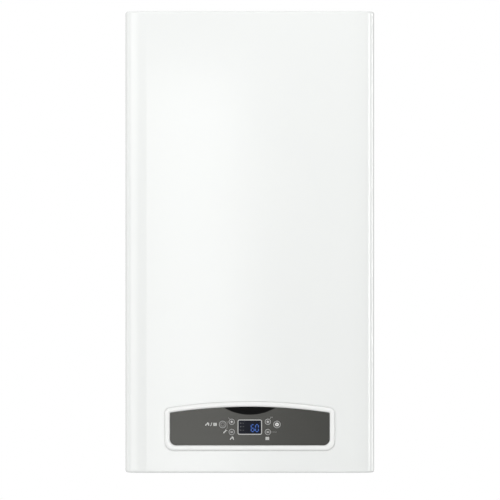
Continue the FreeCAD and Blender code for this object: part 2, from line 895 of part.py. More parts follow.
def make_front_cover():
    body, sketch = new_body("cover_skin", "XY_Plane", "0")
    half_width = value(HALF)
    front = -value("case_depth")
    back = -value("case_depth - cover_depth")
    lean = value("cover_shoulder_angle")
    wide = value("cover_shoulder_radius")
    tight = value("cover_corner_radius")
    sine = math.sin(math.radians(lean))
    cosine = math.cos(math.radians(lean))
    corner = half_width - tight
    flat = corner + tight * sine - wide * sine
    corner_y = front + wide * (1 - cosine) + tight * cosine
    edges = [
        line((-flat, front), (flat, front)),
        arc((flat, front + wide), wide, -QUARTER_TURN, lean - QUARTER_TURN),
        arc((corner, corner_y), tight, lean - QUARTER_TURN, 0),
        line((half_width, corner_y), (half_width, back)),
        line((half_width, back), (-half_width, back)),
        line((-half_width, back), (-half_width, corner_y)),
        arc((-corner, corner_y), tight, HALF_TURN, HALF_TURN + QUARTER_TURN - lean),
        arc((-flat, front + wide), wide, -QUARTER_TURN - lean, -QUARTER_TURN),
    ]
    first = draw_loop(sketch, edges, [True, True, True, False, False, True, True, True])
    hold_radius(sketch, first + 1, "shoulder_right", "cover_shoulder_radius")
    hold_radius(sketch, first + 2, "corner_right", "cover_corner_radius")
    hold_radius(sketch, first + 6, "corner_left", "cover_corner_radius")
    hold_radius(sketch, first + 7, "shoulder_left", "cover_shoulder_radius")
    grown = pad(body, sketch, "case_height")
    near = Part.Precision.confusion()

    def rim(edge):
        box = edge.BoundBox
        flat_edge = box.ZLength < near
        return flat_edge and box.YMin < back - near

    rounded = round_edges(body, grown, "cover_edge_radius", rim)
    shell = body.newObject("PartDesign::Thickness", "cover_shell")
    rear = [f"Face{n}" for n, face in enumerate(rounded.Shape.Faces, start=1)
            if abs(face.BoundBox.YMin - back) < near]
    shell.Base = (rounded, rear)
    shell.Reversed = True
    bind(shell, {"Value": "panel_sheet"})
    members = [body]
    for side, sign in SIDES.items():
        members.append(rod(f"cover_peg_{side}", "cover_peg_radius", "cover_peg_length + panel_sheet / 2",
                           (f"{sign} * cover_peg_spacing / 2", "case_depth - panel_sheet / 2",
                            "case_height - cover_peg_drop"), "back"))
        tab_width = f"({HALF} - panel_sheet - cover_tab_inner + cover_tab_lap)"
        members.append(block(f"cover_tab_{side}",
                             mid(f"{sign} * (cover_tab_inner + {tab_width} / 2)", tab_width),
                             out("cover_tab_near", "cover_tab_near + cover_tab_length"),
                             span("cover_tab_height", "cover_tab_height + panel_sheet")))
    opening, opening_sketch = new_body("cover_opening", "XZ_Plane", "case_depth - panel_sheet - overrun")
    panel_loop(opening_sketch, "opening", "bezel_width / 2 + bezel_gap", "bezel_base - bezel_gap",
               "bezel_peak + bezel_gap", "bezel_corner_radius + bezel_gap",
               "bezel_shoulder_radius + bezel_gap")
    pad(opening, opening_sketch, "panel_sheet + 2 * overrun")
    tools = [opening, block("cover_floor_trim", mid("0", "case_width - 2 * panel_sheet"),
                            out("case_depth - cover_depth - overrun", "case_depth - cover_floor_depth"),
                            span("-overrun", "panel_sheet + overrun"))]
    for side, sign in SIDES.items():
        tools.append(rod(f"cover_tab_hole_{side}", "screw_radius + screw_play",
                         "panel_sheet + 2 * overrun",
                         (f"{sign} * cover_screw_across", TAB_MIDDLE,
                          "cover_tab_height - overrun"), "up"))
    piece("front_cover", cut("cover_cut", join("cover_whole", members), tools))


def screw(name, place, way):
    """A pan-head screw: the place is under the head, the way is where the shank points."""
    opposite = {"up": "down", "down": "up", "front": "back", "back": "front"}[way]
    shank = rod(f"{name}_shank", "screw_radius", "screw_length", place, way)
    head = rod(f"{name}_head", "screw_head_radius", "screw_head_height", place, opposite)
    return join(name, [shank, head])


def make_screws():
    cover = [screw(f"cover_screw_{side}",
                   (f"{sign} * cover_screw_across", TAB_MIDDLE, "cover_tab_height"), "up")
             for side, sign in SIDES.items()]
    piece("cover_screws", group("cover_screw_pair", cover))
    case = []
    for side, sign in SIDES.items():
        for level, height in WING_SCREWS.items():
            case.append(screw(f"wing_screw_{side}_{level}",
                              (f"{sign} * wing_screw_across", PANEL_FRONT, height),
                              "back"))
        for number, height in enumerate(DOOR_SCREWS):
            case.append(screw(f"door_screw_{side}_{number}",
                              (f"{sign} * {DOOR_SCREW_ACROSS}", DOOR_FACE, height),
                              "back"))
    piece("case_screws", group("case_screw_set", case))


DOOR_SCREW_ACROSS = f"({DOOR_HALF} - door_screw_inset)"
DOOR_SCREWS = (
    "(chamber_base + door_top_gap)",
    f"((chamber_base + {CHAMBER_TOP}) / 2)",
    f"({CHAMBER_TOP} - 2 * door_top_gap)",
)


def make_bottom_tray():
    tray_half = f"({FRAME_HALF} - frame_sheet - panel_play)"
    floor = span("tray_height", "tray_height + frame_sheet")
    members = [block("tray_floor", mid("0", f"2 * {tray_half}"), out(FRAME_FACE, "tray_depth"), floor)]
    tools = []
    for side, sign in SIDES.items():
        members.append(block(f"tray_flange_{side}",
                             mid(f"{sign} * ({tray_half} - frame_sheet / 2)", "frame_sheet"),
                             out(FRAME_FACE, "tray_depth"),
                             span("tray_height", "tray_height + tray_flange")))
        wing = f"({tray_half} - wing_inner)"
        wing_x = mid(f"{sign} * (wing_inner + {wing} / 2)", wing)
        wing_face = f"({PANEL_FRONT} - panel_sheet)"
        members.append(block(f"tray_strip_{side}", wing_x, out("tray_depth - tray_lap", wing_face),
                             floor))
        members.append(block(f"tray_wing_{side}", wing_x, out(f"{wing_face} - frame_sheet", wing_face),
                             span("tray_height", "tray_height + wing_height")))
        ear_x = mid(f"{sign} * ({EAR_INNER} + ear_sheet / 2)", "ear_sheet")
        foot_base = "(cover_tab_height + panel_sheet)"
        members.append(block(f"tray_ear_{side}", ear_x,
                             out("tray_depth - tray_lap", f"{PIVOT_OUT} + ear_reach"),
                             span(foot_base, f"{PIVOT_HEIGHT} + ear_reach")))
        foot_x = mid(f"{sign} * ({EAR_INNER} + (ear_foot_width + ear_sheet) / 2)",
                     "ear_foot_width + ear_sheet")
        members.append(block(f"tray_foot_{side}", foot_x,
                             out("cover_tab_near", "cover_tab_near + cover_tab_length"),
                             span(foot_base, f"{foot_base} + ear_sheet")))
        tools.append(rod(f"ear_hole_{side}", "pivot_radius + shaft_play", "ear_sheet + 2 * overrun",
                         (f"{sign} * ({EAR_INNER} - overrun)", PIVOT_OUT, PIVOT_HEIGHT),
                         "right" if side == "right" else "left"))
        tools.append(rod(f"wing_hole_{side}", "screw_radius + screw_play", "frame_sheet + 2 * overrun",
                         (f"{sign} * wing_screw_across", f"{wing_face} - frame_sheet - overrun",
                          WING_SCREWS["lower"]), "front"))
        tools.append(block(f"foot_slot_{side}",
                           mid(f"{sign} * cover_screw_across", "2 * (screw_radius + screw_play)"),
                           out(f"{TAB_MIDDLE} - screw_radius - screw_play",
                               "cover_tab_near + 2 * cover_tab_length"),
                           span(f"{foot_base} - overrun", f"{foot_base} + ear_sheet + overrun")))
    through = "frame_sheet + 2 * overrun"
    below = "tray_height - overrun"
    for name, (across, size) in CONNECTIONS.items():
        tools.append(rod(f"tray_hole_{name}", f"{size}_thread_radius + 1.5 * hole_play", through,
                         (across, "pipe_depth", below), "up"))
    tools.append(rod("tray_hole_gauge", "gauge_radius + hole_play / 2", through,
                     ("-gauge_across", "pipe_depth", below), "up"))
    tools.append(rod("tray_hole_fill", "fill_stem_radius + hole_play", through,
                     ("fill_across", "pipe_depth", below), "up"))
    tools.append(rod("tray_hole_safety", "safety_outlet_radius + hole_play", through,
                     ("safety_across", SAFETY_OUTLET_OUT, below), "up"))
    tools.append(rod("tray_hole_gland", "gland_shank_radius + gland_play", through,
                     ("-gland_across", "gland_out", below), "up"))
    piece("bottom_tray", cut("tray_cut", join("tray_whole", members), tools))


SAFETY_OUTLET_OUT = f"({GROUP_FRONT} + safety_length / 2)"


def make_air_chamber():
    outer = block("chamber_outer", mid("0", f"2 * {CHAMBER_HALF}"), out(FLANGE_TIP, CHAMBER_FRONT),
                  span("chamber_base", CHAMBER_TOP))
    members = [outer,
               block("chamber_plate", mid("0", f"2 * {FRAME_HALF}"), out(FLANGE_TIP, CHAMBER_INNER_BACK),
                            span("chamber_base", CHAMBER_TOP))]
    for side, sign in SIDES.items():
        wing = f"({HALF} - panel_sheet - wing_play - {CHAMBER_HALF})"
        members.append(block(f"chamber_wing_{side}", mid(f"{sign} * ({CHAMBER_HALF} + {wing} / 2)", wing),
                             out(f"{PANEL_FRONT} - panel_sheet - frame_sheet",
                                 f"{PANEL_FRONT} - panel_sheet"),
                             span(f"{CHAMBER_TOP} - wing_height", CHAMBER_TOP)))
    tools = [
        block("chamber_hollow", mid("0", f"2 * ({CHAMBER_HALF} - frame_sheet)"),
              out(CHAMBER_INNER_BACK, f"{CHAMBER_FRONT} - frame_sheet"),
              span("chamber_base + frame_sheet", f"{CHAMBER_TOP} - frame_sheet")),
        block("chamber_mouth", mid("0", f"2 * ({CHAMBER_HALF} - door_rim)"),
              out(f"{CHAMBER_FRONT} - 2 * frame_sheet", f"{CHAMBER_FRONT} + overrun"),
              span("chamber_base + door_rim", f"{CHAMBER_TOP} - door_top_band")),
        rod("chamber_flue_hole", "flue_radius + flue_wall + flue_play", "frame_sheet + 2 * overrun",
            ("0", "flue_depth", f"{CHAMBER_TOP} - frame_sheet - overrun"), "up"),
    ]
    for number in range(AIR_HOLES):
        tools.append(air_hole(f"chamber_air_{number}", number, f"{CHAMBER_TOP} - frame_sheet - overrun",
                              "frame_sheet + 2 * overrun"))
    for name, (across, away, radius) in FLOOR_HOLES.items():
        tools.append(rod(f"chamber_hole_{name}", f"{radius} + hole_play / 2", "frame_sheet + 2 * overrun",
                         (across, away, "chamber_base - overrun"), "up"))
    for side, sign in SIDES.items():
        tools.append(rod(f"chamber_peg_hole_{side}", "cover_peg_radius + cover_peg_play",
                         "frame_sheet + 2 * overrun",
                         (f"{sign} * cover_peg_spacing / 2", f"{CHAMBER_FRONT} - frame_sheet - overrun",
                          "case_height - cover_peg_drop"), "front"))
        tools.append(rod(f"chamber_wing_hole_{side}", "screw_radius + screw_play",
                         "frame_sheet + 2 * overrun",
                         (f"{sign} * wing_screw_across",
                          f"{PANEL_FRONT} - panel_sheet - frame_sheet - overrun",
                          WING_SCREWS["upper"]), "front"))
        for number, height in enumerate(DOOR_SCREWS):
            tools.append(rod(f"chamber_screw_hole_{side}_{number}", "screw_radius + screw_play",
                             "frame_sheet + 2 * overrun",
                             (f"{sign} * {DOOR_SCREW_ACROSS}", f"{CHAMBER_FRONT} - frame_sheet - overrun",
                              height),
                             "front"))
    piece("air_chamber", cut("chamber_cut", join("chamber_whole", members), tools))


FLOOR_HOLES = {
    "flow": ("-pipe_side", TUBE_LAST, "pipe_radius"),
    "return": ("pipe_side", "pipe_depth", "pipe_radius"),
    "gas": ("0", f"({RAIL_FRONT} - rail_depth / 2)", "burner_pipe_radius"),
}


def air_hole(name, number, height, length):
    """One of the ring of holes that let air in between the two flue tubes."""
    turn = FULL_TURN * number / AIR_HOLES
    ring = "((air_radius + flue_radius + flue_wall) / 2)"
    return rod(name, "air_hole_radius", length,
               (f"{ring} * cos({turn})", f"flue_depth + {ring} * sin({turn})", height), "up")


def make_chamber_door():
    seal_inner = f"({CHAMBER_HALF} - door_rim + seal_gap)"
    seal_low = "(chamber_base + door_rim - seal_gap)"
    seal_high = f"({CHAMBER_TOP} - door_top_band + seal_gap)"
    outer = block("seal_outer", mid("0", f"2 * ({seal_inner} + seal_width)"),
                  out(CHAMBER_FRONT, DOOR_BACK),
                  span(f"{seal_low} - seal_width", f"{seal_high} + seal_width"))
    inner = block("seal_inner", mid("0", f"2 * {seal_inner}"),
                  out(f"{CHAMBER_FRONT} - overrun", f"{DOOR_BACK} + overrun"),
                  span(seal_low, seal_high))
    piece("door_seal", cut("seal_ring", outer, [inner]))
    plate = block("door_plate", mid("0", f"2 * {DOOR_HALF}"), out(DOOR_BACK, DOOR_FACE),
                  span(DOOR_BASE, DOOR_TOP))
    rib_out = out(DOOR_BACK, f"{DOOR_FACE} + door_rib_height")
    rib_outer = block("door_rib_outer", mid("0", f"2 * ({DOOR_HALF} - door_rib_inset)"), rib_out,
                      span(f"{DOOR_BASE} + 3 * door_rib_inset", f"{DOOR_TOP} - door_rib_inset"))
    rib_inner = block("door_rib_inner", mid("0", f"2 * ({DOOR_HALF} - door_rib_inset - door_rib_width)"),
                      out(f"{DOOR_BACK} - overrun", f"{DOOR_FACE} + door_rib_height + overrun"),
                      span(f"{DOOR_BASE} + 3 * door_rib_inset + door_rib_width",
                           f"{DOOR_TOP} - door_rib_inset - door_rib_width"))
    whole = join("door_whole", [plate, cut("door_rib", rib_outer, [rib_inner])])
    through = "frame_sheet + 2 * overrun"
    tools = [rod("door_sight_hole", SIGHT_HOLE, through, ("0", f"{DOOR_BACK} - overrun", SIGHT_HEIGHT),
                 "front")]
    for side, sign in SIDES.items():
        for number, height in enumerate(DOOR_SCREWS):
            tools.append(rod(f"door_hole_{side}_{number}", "screw_radius + screw_play", through,
                             (f"{sign} * {DOOR_SCREW_ACROSS}", f"{DOOR_BACK} - overrun",
                              height), "front"))
    piece("chamber_door", cut("door_cut", whole, tools))
    piece("sight_glass", join("sight_whole", [
        rod("sight_plug", "sight_radius", "frame_sheet + sight_height", ("0", DOOR_BACK, SIGHT_HEIGHT),
            "front"),
        rod("sight_rim", "sight_radius + sight_rim", "sight_height", ("0", DOOR_FACE, SIGHT_HEIGHT),
            "front"),
    ]))


def stack_frame(name, base, top):
    """Four sheet walls on the footprint of the hot stack."""
    outer = block(f"{name}_outer", mid("0", f"2 * {STACK_HALF}"), out("stack_back", STACK_FRONT),
                  span(base, top))
    inner = block(f"{name}_inner", mid("0", f"2 * ({STACK_HALF} - frame_sheet)"),
                  out("stack_back + frame_sheet", f"{STACK_FRONT} - frame_sheet"),
                  span(f"{base} - overrun", f"{top} + overrun"))
    return cut(f"{name}_walls", outer, [inner])


def make_burner():
    across = f"({STACK_HALF} - frame_sheet)"
    bars = int(value(f"2 * {across} - 2 * bar_width") // value("bar_pitch"))
    places = [f"{number - (bars - 1) / 2} * bar_pitch" for number in range(bars)]
    cross = block("burner_cross", mid("0", f"2 * {across}"), out(BAR_FRONT, f"{BAR_FRONT} + frame_sheet"),
                  span(BURNER_BASE, BURNER_TOP))
    tools = []
    for number, place in enumerate(places):
        tools.append(rod(f"cross_hole_{number}", "injector_radius + injector_gap",
                         "frame_sheet + 2 * overrun",
                         (place, f"{BAR_FRONT} - overrun", RAIL_HEIGHT), "front"))
    members = [cut("burner_drilled",
                   join("burner_frame", [stack_frame("burner", BURNER_BASE, BURNER_TOP), cross]), tools)]
    for number, place in enumerate(places):
        members.append(burner_bar(number, place))
    piece("burner_bars", group("burner_set", members))
    rail = block("gas_rail", mid("0", f"2 * {across}"), out(RAIL_BACK, RAIL_FRONT),
                 mid(RAIL_HEIGHT, "rail_depth"))
    nozzles = [rod(f"injector_{number}", "injector_radius", f"{RAIL_BACK} - {BAR_FRONT} - injector_gap",
                   (place, RAIL_BACK, RAIL_HEIGHT), "back") for number, place in enumerate(places)]
    inlet = rod("rail_inlet", "burner_pipe_radius - pipe_wall", "rail_depth / 2 + overrun",
                ("0", f"{RAIL_FRONT} - rail_depth / 2",
                 f"{RAIL_HEIGHT} - rail_depth / 2 - overrun"), "up")
    piece("gas_manifold", group("manifold_set", [cut("gas_rail_drilled", rail, [inlet])] + nozzles))


RAIL_HEIGHT = f"({BURNER_BASE} + rail_lift)"


def burner_bar(number, place):
    """One hollow bar of the burner, open below."""
    top = f"({BURNER_TOP} - bar_drop)"
    shell = block(f"burner_bar_{number}", mid(place, "bar_width"),
                  out("stack_back + frame_sheet", BAR_FRONT),
                  span(f"{top} - bar_height", top))
    hollow = block(f"burner_bar_hollow_{number}", mid(place, "bar_width - 2 * frame_sheet"),
                   out("stack_back + 2 * frame_sheet", f"{BAR_FRONT} - frame_sheet"),
                   span(f"{top} - bar_height - overrun", f"{top} - frame_sheet"))
    return cut(f"burner_bar_shell_{number}", shell, [hollow])


ELECTRODES = ("-electrode_spacing", "0", "2 * electrode_spacing")


def make_flame_space():
    tools = []
    board_tools = []
    hole = "electrode_radius + electrode_play"
    for number, place in enumerate(ELECTRODES):
        start = (place, f"{STACK_FRONT} - board_depth - 2 * overrun", ELECTRODE_HEIGHT)
        length = "board_depth + 3 * overrun"
        tools.append(rod(f"wall_electrode_hole_{number}", hole, length, start, "front"))
        board_tools.append(rod(f"board_electrode_hole_{number}", hole, length, start, "front"))
    piece("combustion_chamber", cut("flame_walls", stack_frame("flame", BURNER_TOP, FIN_BASE), tools))
    inner = f"({STACK_HALF} - frame_sheet)"
    height = span(BURNER_TOP, FIN_BASE)
    near = "(stack_back + frame_sheet)"
    far = f"({STACK_FRONT} - frame_sheet)"
    boards = [
        block("board_back", mid("0", f"2 * {inner}"), out(near, f"{near} + board_depth"), height),
        cut("board_front_cut",
            block("board_front", mid("0", f"2 * {inner}"), out(f"{far} - board_depth", far), height),
            board_tools),
    ]
    for side, sign in SIDES.items():
        boards.append(block(f"board_{side}", mid(f"{sign} * ({inner} - board_depth / 2)", "board_depth"),
                            out(f"{near} + board_depth", f"{far} - board_depth"), height))
    piece("insulation_boards", group("board_set", boards))
    probes = []
    for number, place in enumerate(ELECTRODES):
        back = f"({STACK_FRONT} - electrode_inset)"
        sleeve = rod(f"electrode_sleeve_{number}", "electrode_radius", "electrode_length",
                     (place, back, ELECTRODE_HEIGHT), "front")
        tip = rod(f"electrode_tip_{number}", "electrode_tip_radius", "electrode_tip_length",
                  (place, back, ELECTRODE_HEIGHT), "back")
        probes.append(join(f"electrode_{number}", [sleeve, tip]))
    piece("electrodes", group("electrode_set", probes))


def tube_runs():
    """An odd number of runs, so that the tube ends on the side away from its start."""
    return 2 * int(value(f"{TUBE_SPAN} / (2 * tube_pitch_least)")) + 1


def tube_pitch():
    return value(TUBE_SPAN) / (tube_runs() - 1)


def make_heat_exchanger():
    half_width = value(STACK_HALF)
    thickness = value("fin_sheet")
    depth = value(f"{STACK_FRONT} - stack_back")
    plate = Part.makeBox(thickness, depth, value("fin_height"), spot("0", STACK_FRONT, FIN_BASE))
    for run in range(tube_runs()):
        start = spot("-overrun", "pipe_depth", TUBE_HEIGHT) - Y_AXIS * (run * tube_pitch())
        plate = plate.cut(Part.makeCylinder(value("tube_radius + fin_play"),
                                            value("fin_sheet + 2 * overrun"), start, X_AXIS))
    fins = int((2 * half_width - thickness) // value("fin_pitch"))
    step = (2 * half_width - thickness) / fins
    copies = [plate.translated(X_AXIS * (number * step - half_width)) for number in range(fins + 1)]
    piece("exchanger_fins", formed("fin_set", Part.makeCompound(copies)))
    piece("exchanger_tube", make_serpentine())


def make_serpentine():
    """One tube that runs to and fro through the fins, from the front left to the back right."""
    turn = value(f"{STACK_HALF} + tube_bend_lead")
    edges = []
    begin = spot(TUBE_END, "pipe_depth", TUBE_HEIGHT)
    last = tube_runs() - 1
    for run in range(last + 1):
        side = -1 if run % 2 == 0 else 1
        end = FreeCAD.Vector(side * turn, begin.y, begin.z)
        if run == last:
            end.x = -value(TUBE_END)
        edges.append(Part.LineSegment(begin, end).toShape())
        if run < last:
            pitch = tube_pitch()
            over = end - Y_AXIS * pitch
            edges.append(Part.Arc(end, end - Y_AXIS * (pitch / 2) + X_AXIS * (side * pitch / 2),
                                  over).toShape())
            begin = over
    path = Part.Wire(edges)
    outside = swept(path, value("tube_radius"))
    return formed("serpentine", outside.cut(swept(path, value("tube_radius - tube_wall"))))


def wedge(name, base, top, low, high):
    """A block that tapers from one rectangle up to another; each gives x and distances out."""
    taper = doc.addObject("Part::Wedge", name)
    bind(taper, {
        "Xmin": base[0], "Xmax": base[1], "Zmin": base[2], "Zmax": base[3],
        "X2min": top[0], "X2max": top[1], "Z2min": top[2], "Z2max": top[3],
        "Ymin": "0", "Ymax": f"({high}) - ({low})",
    })
    return stand(taper, ("0", "0", low), "front")


def make_flue_hood():
    left = "(-fan_offset - duct_half)"
    right = "(duct_half - fan_offset)"
    back = f"({CHAMBER_INNER_BACK} + duct_gap)"
    duct_top = f"({FAN_HEIGHT} + duct_rise)"
    outer = join("hood_outer", [
        wedge("hood_wedge", (f"-{STACK_HALF}", STACK_HALF, "stack_back", STACK_FRONT),
              (left, right, back, FAN_BACK),
              HOOD_BASE, HOOD_TOP),
        block("hood_duct", span(left, right), out(back, FAN_BACK), span(HOOD_TOP, duct_top)),
    ])
    skin = "frame_sheet"
    tools = [
        wedge("hood_hollow",
              (f"{skin} - {STACK_HALF}", f"{STACK_HALF} - {skin}", f"stack_back + {skin}",
               f"{STACK_FRONT} - {skin}"),
              (f"{left} + {skin}", f"{right} - {skin}", f"{back} + {skin}", f"{FAN_BACK} - {skin}"),
              f"{HOOD_BASE} - {skin}", f"{HOOD_TOP} - {skin}"),
        block("duct_hollow", span(f"{left} + {skin}", f"{right} - {skin}"),
              out(f"{back} + {skin}", f"{FAN_BACK} - {skin}"),
              span(f"{HOOD_TOP} - 2 * {skin}", f"{duct_top} - {skin}")),
        rod("duct_port", "fan_port_radius", f"{skin} + 2 * overrun",
            ("-fan_offset", f"{FAN_BACK} - {skin} - overrun", FAN_HEIGHT),
            "front"),
    ]
    piece("flue_hood", cut("hood_cut", outer, tools))


def make_fan():
    axis = "-fan_offset"
    skin = "frame_sheet"
    depth = out(FAN_BACK, FAN_FRONT)
    inner_depth = out(f"{FAN_BACK} + {skin}", f"{FAN_FRONT} - {skin}")
    ceiling = f"({CHAMBER_TOP} - frame_sheet)"
    outer = join("fan_outer", [
        rod("fan_drum", "fan_radius", "fan_depth", (axis, FAN_BACK, FAN_HEIGHT), "front"),
        block("fan_outlet", mid("0", "fan_depth"), depth, span(FAN_HEIGHT, ceiling)),
        rod("fan_nipple", "switch_port_radius", f"switch_port_length + {skin}",
            (f"fan_depth / 2 - {skin}", "flue_depth", SILICONE_HEIGHT), "right"),
    ])
    tools = [
        rod("fan_drum_hollow", f"fan_radius - {skin}", f"fan_depth - 2 * {skin}",
            (axis, f"{FAN_BACK} + {skin}", FAN_HEIGHT),
            "front"),
        block("fan_outlet_hollow", mid("0", f"fan_depth - 2 * {skin}"), inner_depth,
              span(FAN_HEIGHT, f"{ceiling} + overrun")),
        rod("fan_eye", "fan_port_radius", f"{skin} + 2 * overrun",
            (axis, f"{FAN_BACK} - overrun", FAN_HEIGHT), "front"),
        rod("fan_shaft_hole", "2 * fan_shaft_radius", f"{skin} + 2 * overrun",
            (axis, f"{FAN_FRONT} - {skin} - overrun", FAN_HEIGHT), "front"),
        rod("fan_nipple_bore", "silicone_radius - silicone_wall", "switch_port_length + 3 * overrun",
            ("fan_depth / 2 - 2 * overrun", "flue_depth", SILICONE_HEIGHT), "right"),
    ]
    piece("fan_housing", cut("fan_cut", outer, tools))
    motor = join("motor_whole", [
        rod("motor_can", "motor_radius", "motor_length", (axis, FAN_FRONT, FAN_HEIGHT), "front"),
        rod("motor_cap", "motor_cap_radius", "motor_length + motor_cap_length",
            (axis, FAN_FRONT, FAN_HEIGHT), "front"),
    ])
    bore = rod("motor_bore", "fan_shaft_radius + shaft_play", "fan_shaft_length + 2 * overrun",
               (axis, f"{FAN_FRONT} - overrun", FAN_HEIGHT), "front")
    piece("fan_motor", cut("motor_bored", motor, [bore]))
    piece("fan_impeller", formed("fan_wheel", make_fan_wheel()))


SILICONE_HEIGHT = f"({CHAMBER_TOP} - silicone_port_drop)"


def make_fan_wheel():
    """A squirrel-cage wheel with a disc towards the motor, a ring at the inlet and its shaft."""
    near = f"({FAN_BACK} + frame_sheet + impeller_gap)"
    far = f"({FAN_FRONT} - frame_sheet - impeller_gap)"
    front = spot("-fan_offset", far, FAN_HEIGHT)
    back = spot("-fan_offset", near, FAN_HEIGHT)
    radius = value("impeller_radius")
    sheet_depth = value("impeller_disc")
    length = (back - front).Length
    disc = Part.makeCylinder(radius, sheet_depth, front, Y_AXIS)
    ring = Part.makeCylinder(radius, sheet_depth, back - Y_AXIS * sheet_depth, Y_AXIS)
    eye = Part.makeCylinder(radius - value("impeller_blade_reach") / 2, length,
                            front + Y_AXIS * sheet_depth, Y_AXIS)
    hub = Part.makeCylinder(value("impeller_hub_radius"), length / 2, front, Y_AXIS)
    shaft_end = spot("-fan_offset", f"{FAN_FRONT} + fan_shaft_length", FAN_HEIGHT)
    shaft = Part.makeCylinder(value("fan_shaft_radius"), (front - shaft_end).Length + length / 2,
                              shaft_end, Y_AXIS)
    reach = value("impeller_blade_reach")
    corner = FreeCAD.Vector(front.x + radius - reach, front.y, front.z - sheet_depth / 2)
    blade = Part.makeBox(reach - sheet_depth / 2, length, sheet_depth, corner)
    blades = [blade.rotated(front, Y_AXIS, FULL_TURN * number / BLADES) for number in range(BLADES)]
    return disc.multiFuse([ring.cut(eye), hub, shaft] + blades).removeSplitter()


def make_flue_collar():
    top = f"({CHAMBER_TOP} + flue_stand)"
    low = f"({CHAMBER_TOP} - flue_drop)"
    stand_on = span(CHAMBER_TOP, f"{CHAMBER_TOP} + collar_sheet")
    ring = cut("air_ring",
               rod("air_ring_outer", "air_radius + flue_wall", "flue_stand",
                   ("0", "flue_depth", CHAMBER_TOP), "up"),
               [rod("air_ring_inner", "air_radius", "flue_stand + 2 * overrun",
                    ("0", "flue_depth", f"{CHAMBER_TOP} - overrun"), "up")])
    whole = join("collar_whole", [
        block("collar_plate", mid("0", "collar_width"), mid("-flue_depth", "collar_width"), stand_on),
        ring,
        rod("flue_tube", "flue_radius + flue_wall", f"{top} - {low}", ("0", "flue_depth", low), "up"),
    ])
    tools = [rod("flue_bore", "flue_radius", f"{top} - {low} + 2 * overrun",
                 ("0", "flue_depth", f"{low} - overrun"), "up")]
    for number in range(AIR_HOLES):
        tools.append(air_hole(f"collar_air_{number}", number, f"{CHAMBER_TOP} - overrun",
                              "collar_sheet + 2 * overrun"))
    piece("flue_collar", cut("collar_cut", whole, tools))


def make_pressure_switch():
    wall = f"({CHAMBER_HALF} - frame_sheet)"
    height = f"({CHAMBER_TOP} - switch_drop)"
    whole = join("switch_whole", [
        rod("switch_can", "switch_radius", "switch_depth", (wall, "switch_out", height), "left"),
        rod("switch_port", "switch_port_radius", "switch_depth + switch_port_length",
            (wall, "switch_out", height), "left"),
        block("switch_terminals", mid(f"{wall} - switch_depth / 2", "switch_depth / 2"),
              mid("-switch_out", "switch_radius"), mid(f"{height} - switch_radius", "switch_depth")),
    ])
    piece("pressure_switch", whole)
    port = f"({wall} - switch_depth - switch_port_length)"
    nipple = "(fan_depth / 2 + switch_port_length)"
    points = [
        spot(port, "switch_out", height),
        spot(f"({port} + {nipple}) / 2", "switch_out", height),
        spot(f"({port} + {nipple}) / 2", "flue_depth", SILICONE_HEIGHT),
        spot(nipple, "flue_depth", SILICONE_HEIGHT),
    ]
    piece("pressure_tube", tube("silicone", points, "silicone_bend", "silicone_radius", "silicone_wall"))


def make_expansion_vessel():
    pillow = block("vessel_pillow", mid("0", "vessel_width"),
                   out(FRAME_FACE, f"{FRAME_FACE} + vessel_depth"),
                   span("vessel_base", "vessel_base + vessel_height"))
    rounded = soften("vessel_rounded", pillow, "vessel_round", lambda edge: True)
    seam = block("vessel_seam", mid("0", "vessel_width + 2 * vessel_seam_out"),
                 mid(f"-({FRAME_FACE} + vessel_depth / 2)", "vessel_seam"),
                 span("vessel_base - vessel_seam_out", "vessel_base + vessel_height + vessel_seam_out"))
    seam_rounded = soften("vessel_seam_rounded", seam, "vessel_round + vessel_seam_out",
                          lambda edge: runs_along(edge, Y_AXIS))
    stub = rod("vessel_stub", "vessel_stub_radius", "vessel_stub_length + vessel_round",
               ("vessel_pipe_across", "vessel_pipe_out", "vessel_base - vessel_stub_length"), "up")
    hollow = block("vessel_hollow", mid("0", "vessel_width - 2 * vessel_sheet"),
                   out(f"{FRAME_FACE} + vessel_sheet", f"{FRAME_FACE} + vessel_depth - vessel_sheet"),
                   span("vessel_base + vessel_sheet", "vessel_base + vessel_height - vessel_sheet"))
    hollow_rounded = soften("vessel_hollow_rounded", hollow, "vessel_round - vessel_sheet",
                            lambda edge: True)
    passage = rod("vessel_passage", "vessel_pipe_radius - pipe_wall",
                  "vessel_stub_length + vessel_round + 2 * overrun",
                  ("vessel_pipe_across", "vessel_pipe_out",
                   "vessel_base - vessel_stub_length - overrun"), "up")
    whole = join("vessel_whole", [rounded, seam_rounded, stub])
    piece("expansion_vessel", cut("vessel_cut", whole, [hollow_rounded, passage]))
    points = [
        spot("vessel_pipe_across", "vessel_pipe_out", "vessel_base - vessel_stub_length"),
        spot("vessel_pipe_across", "vessel_pipe_out", "vessel_pipe_height"),
        spot("vessel_pipe_across", GROUP_BACK, "vessel_pipe_height"),
    ]
    piece("vessel_pipe", tube("vessel_tube", points, "vessel_pipe_bend", "vessel_pipe_radius",
                              "pipe_wall"))


def nipple_with_nut(name, top):
    """The outside of a threaded nipple with its hexagon."""
    across, size = CONNECTIONS[name]
    nipple = rod(f"{name}_nipple", f"{size}_thread_radius", f"({top}) - connection_end",
                 (across, "pipe_depth", "connection_end"), "up")
    collar = nut(f"{name}_nut", f"{size}_nut_radius", "nut_height", (across, "pipe_depth", "nut_base"),
                 "up")
    return [nipple, collar]


def connection(name, foot, top):
    """A nipple with its hexagon, and the bore to cut from it."""
    across, size = CONNECTIONS[name]
    bore = rod(f"{name}_bore", f"{size}_bore_radius", f"({foot}) - connection_end + overrun",
               (across, "pipe_depth", "connection_end - overrun"), "up")
    return nipple_with_nut(name, top), bore


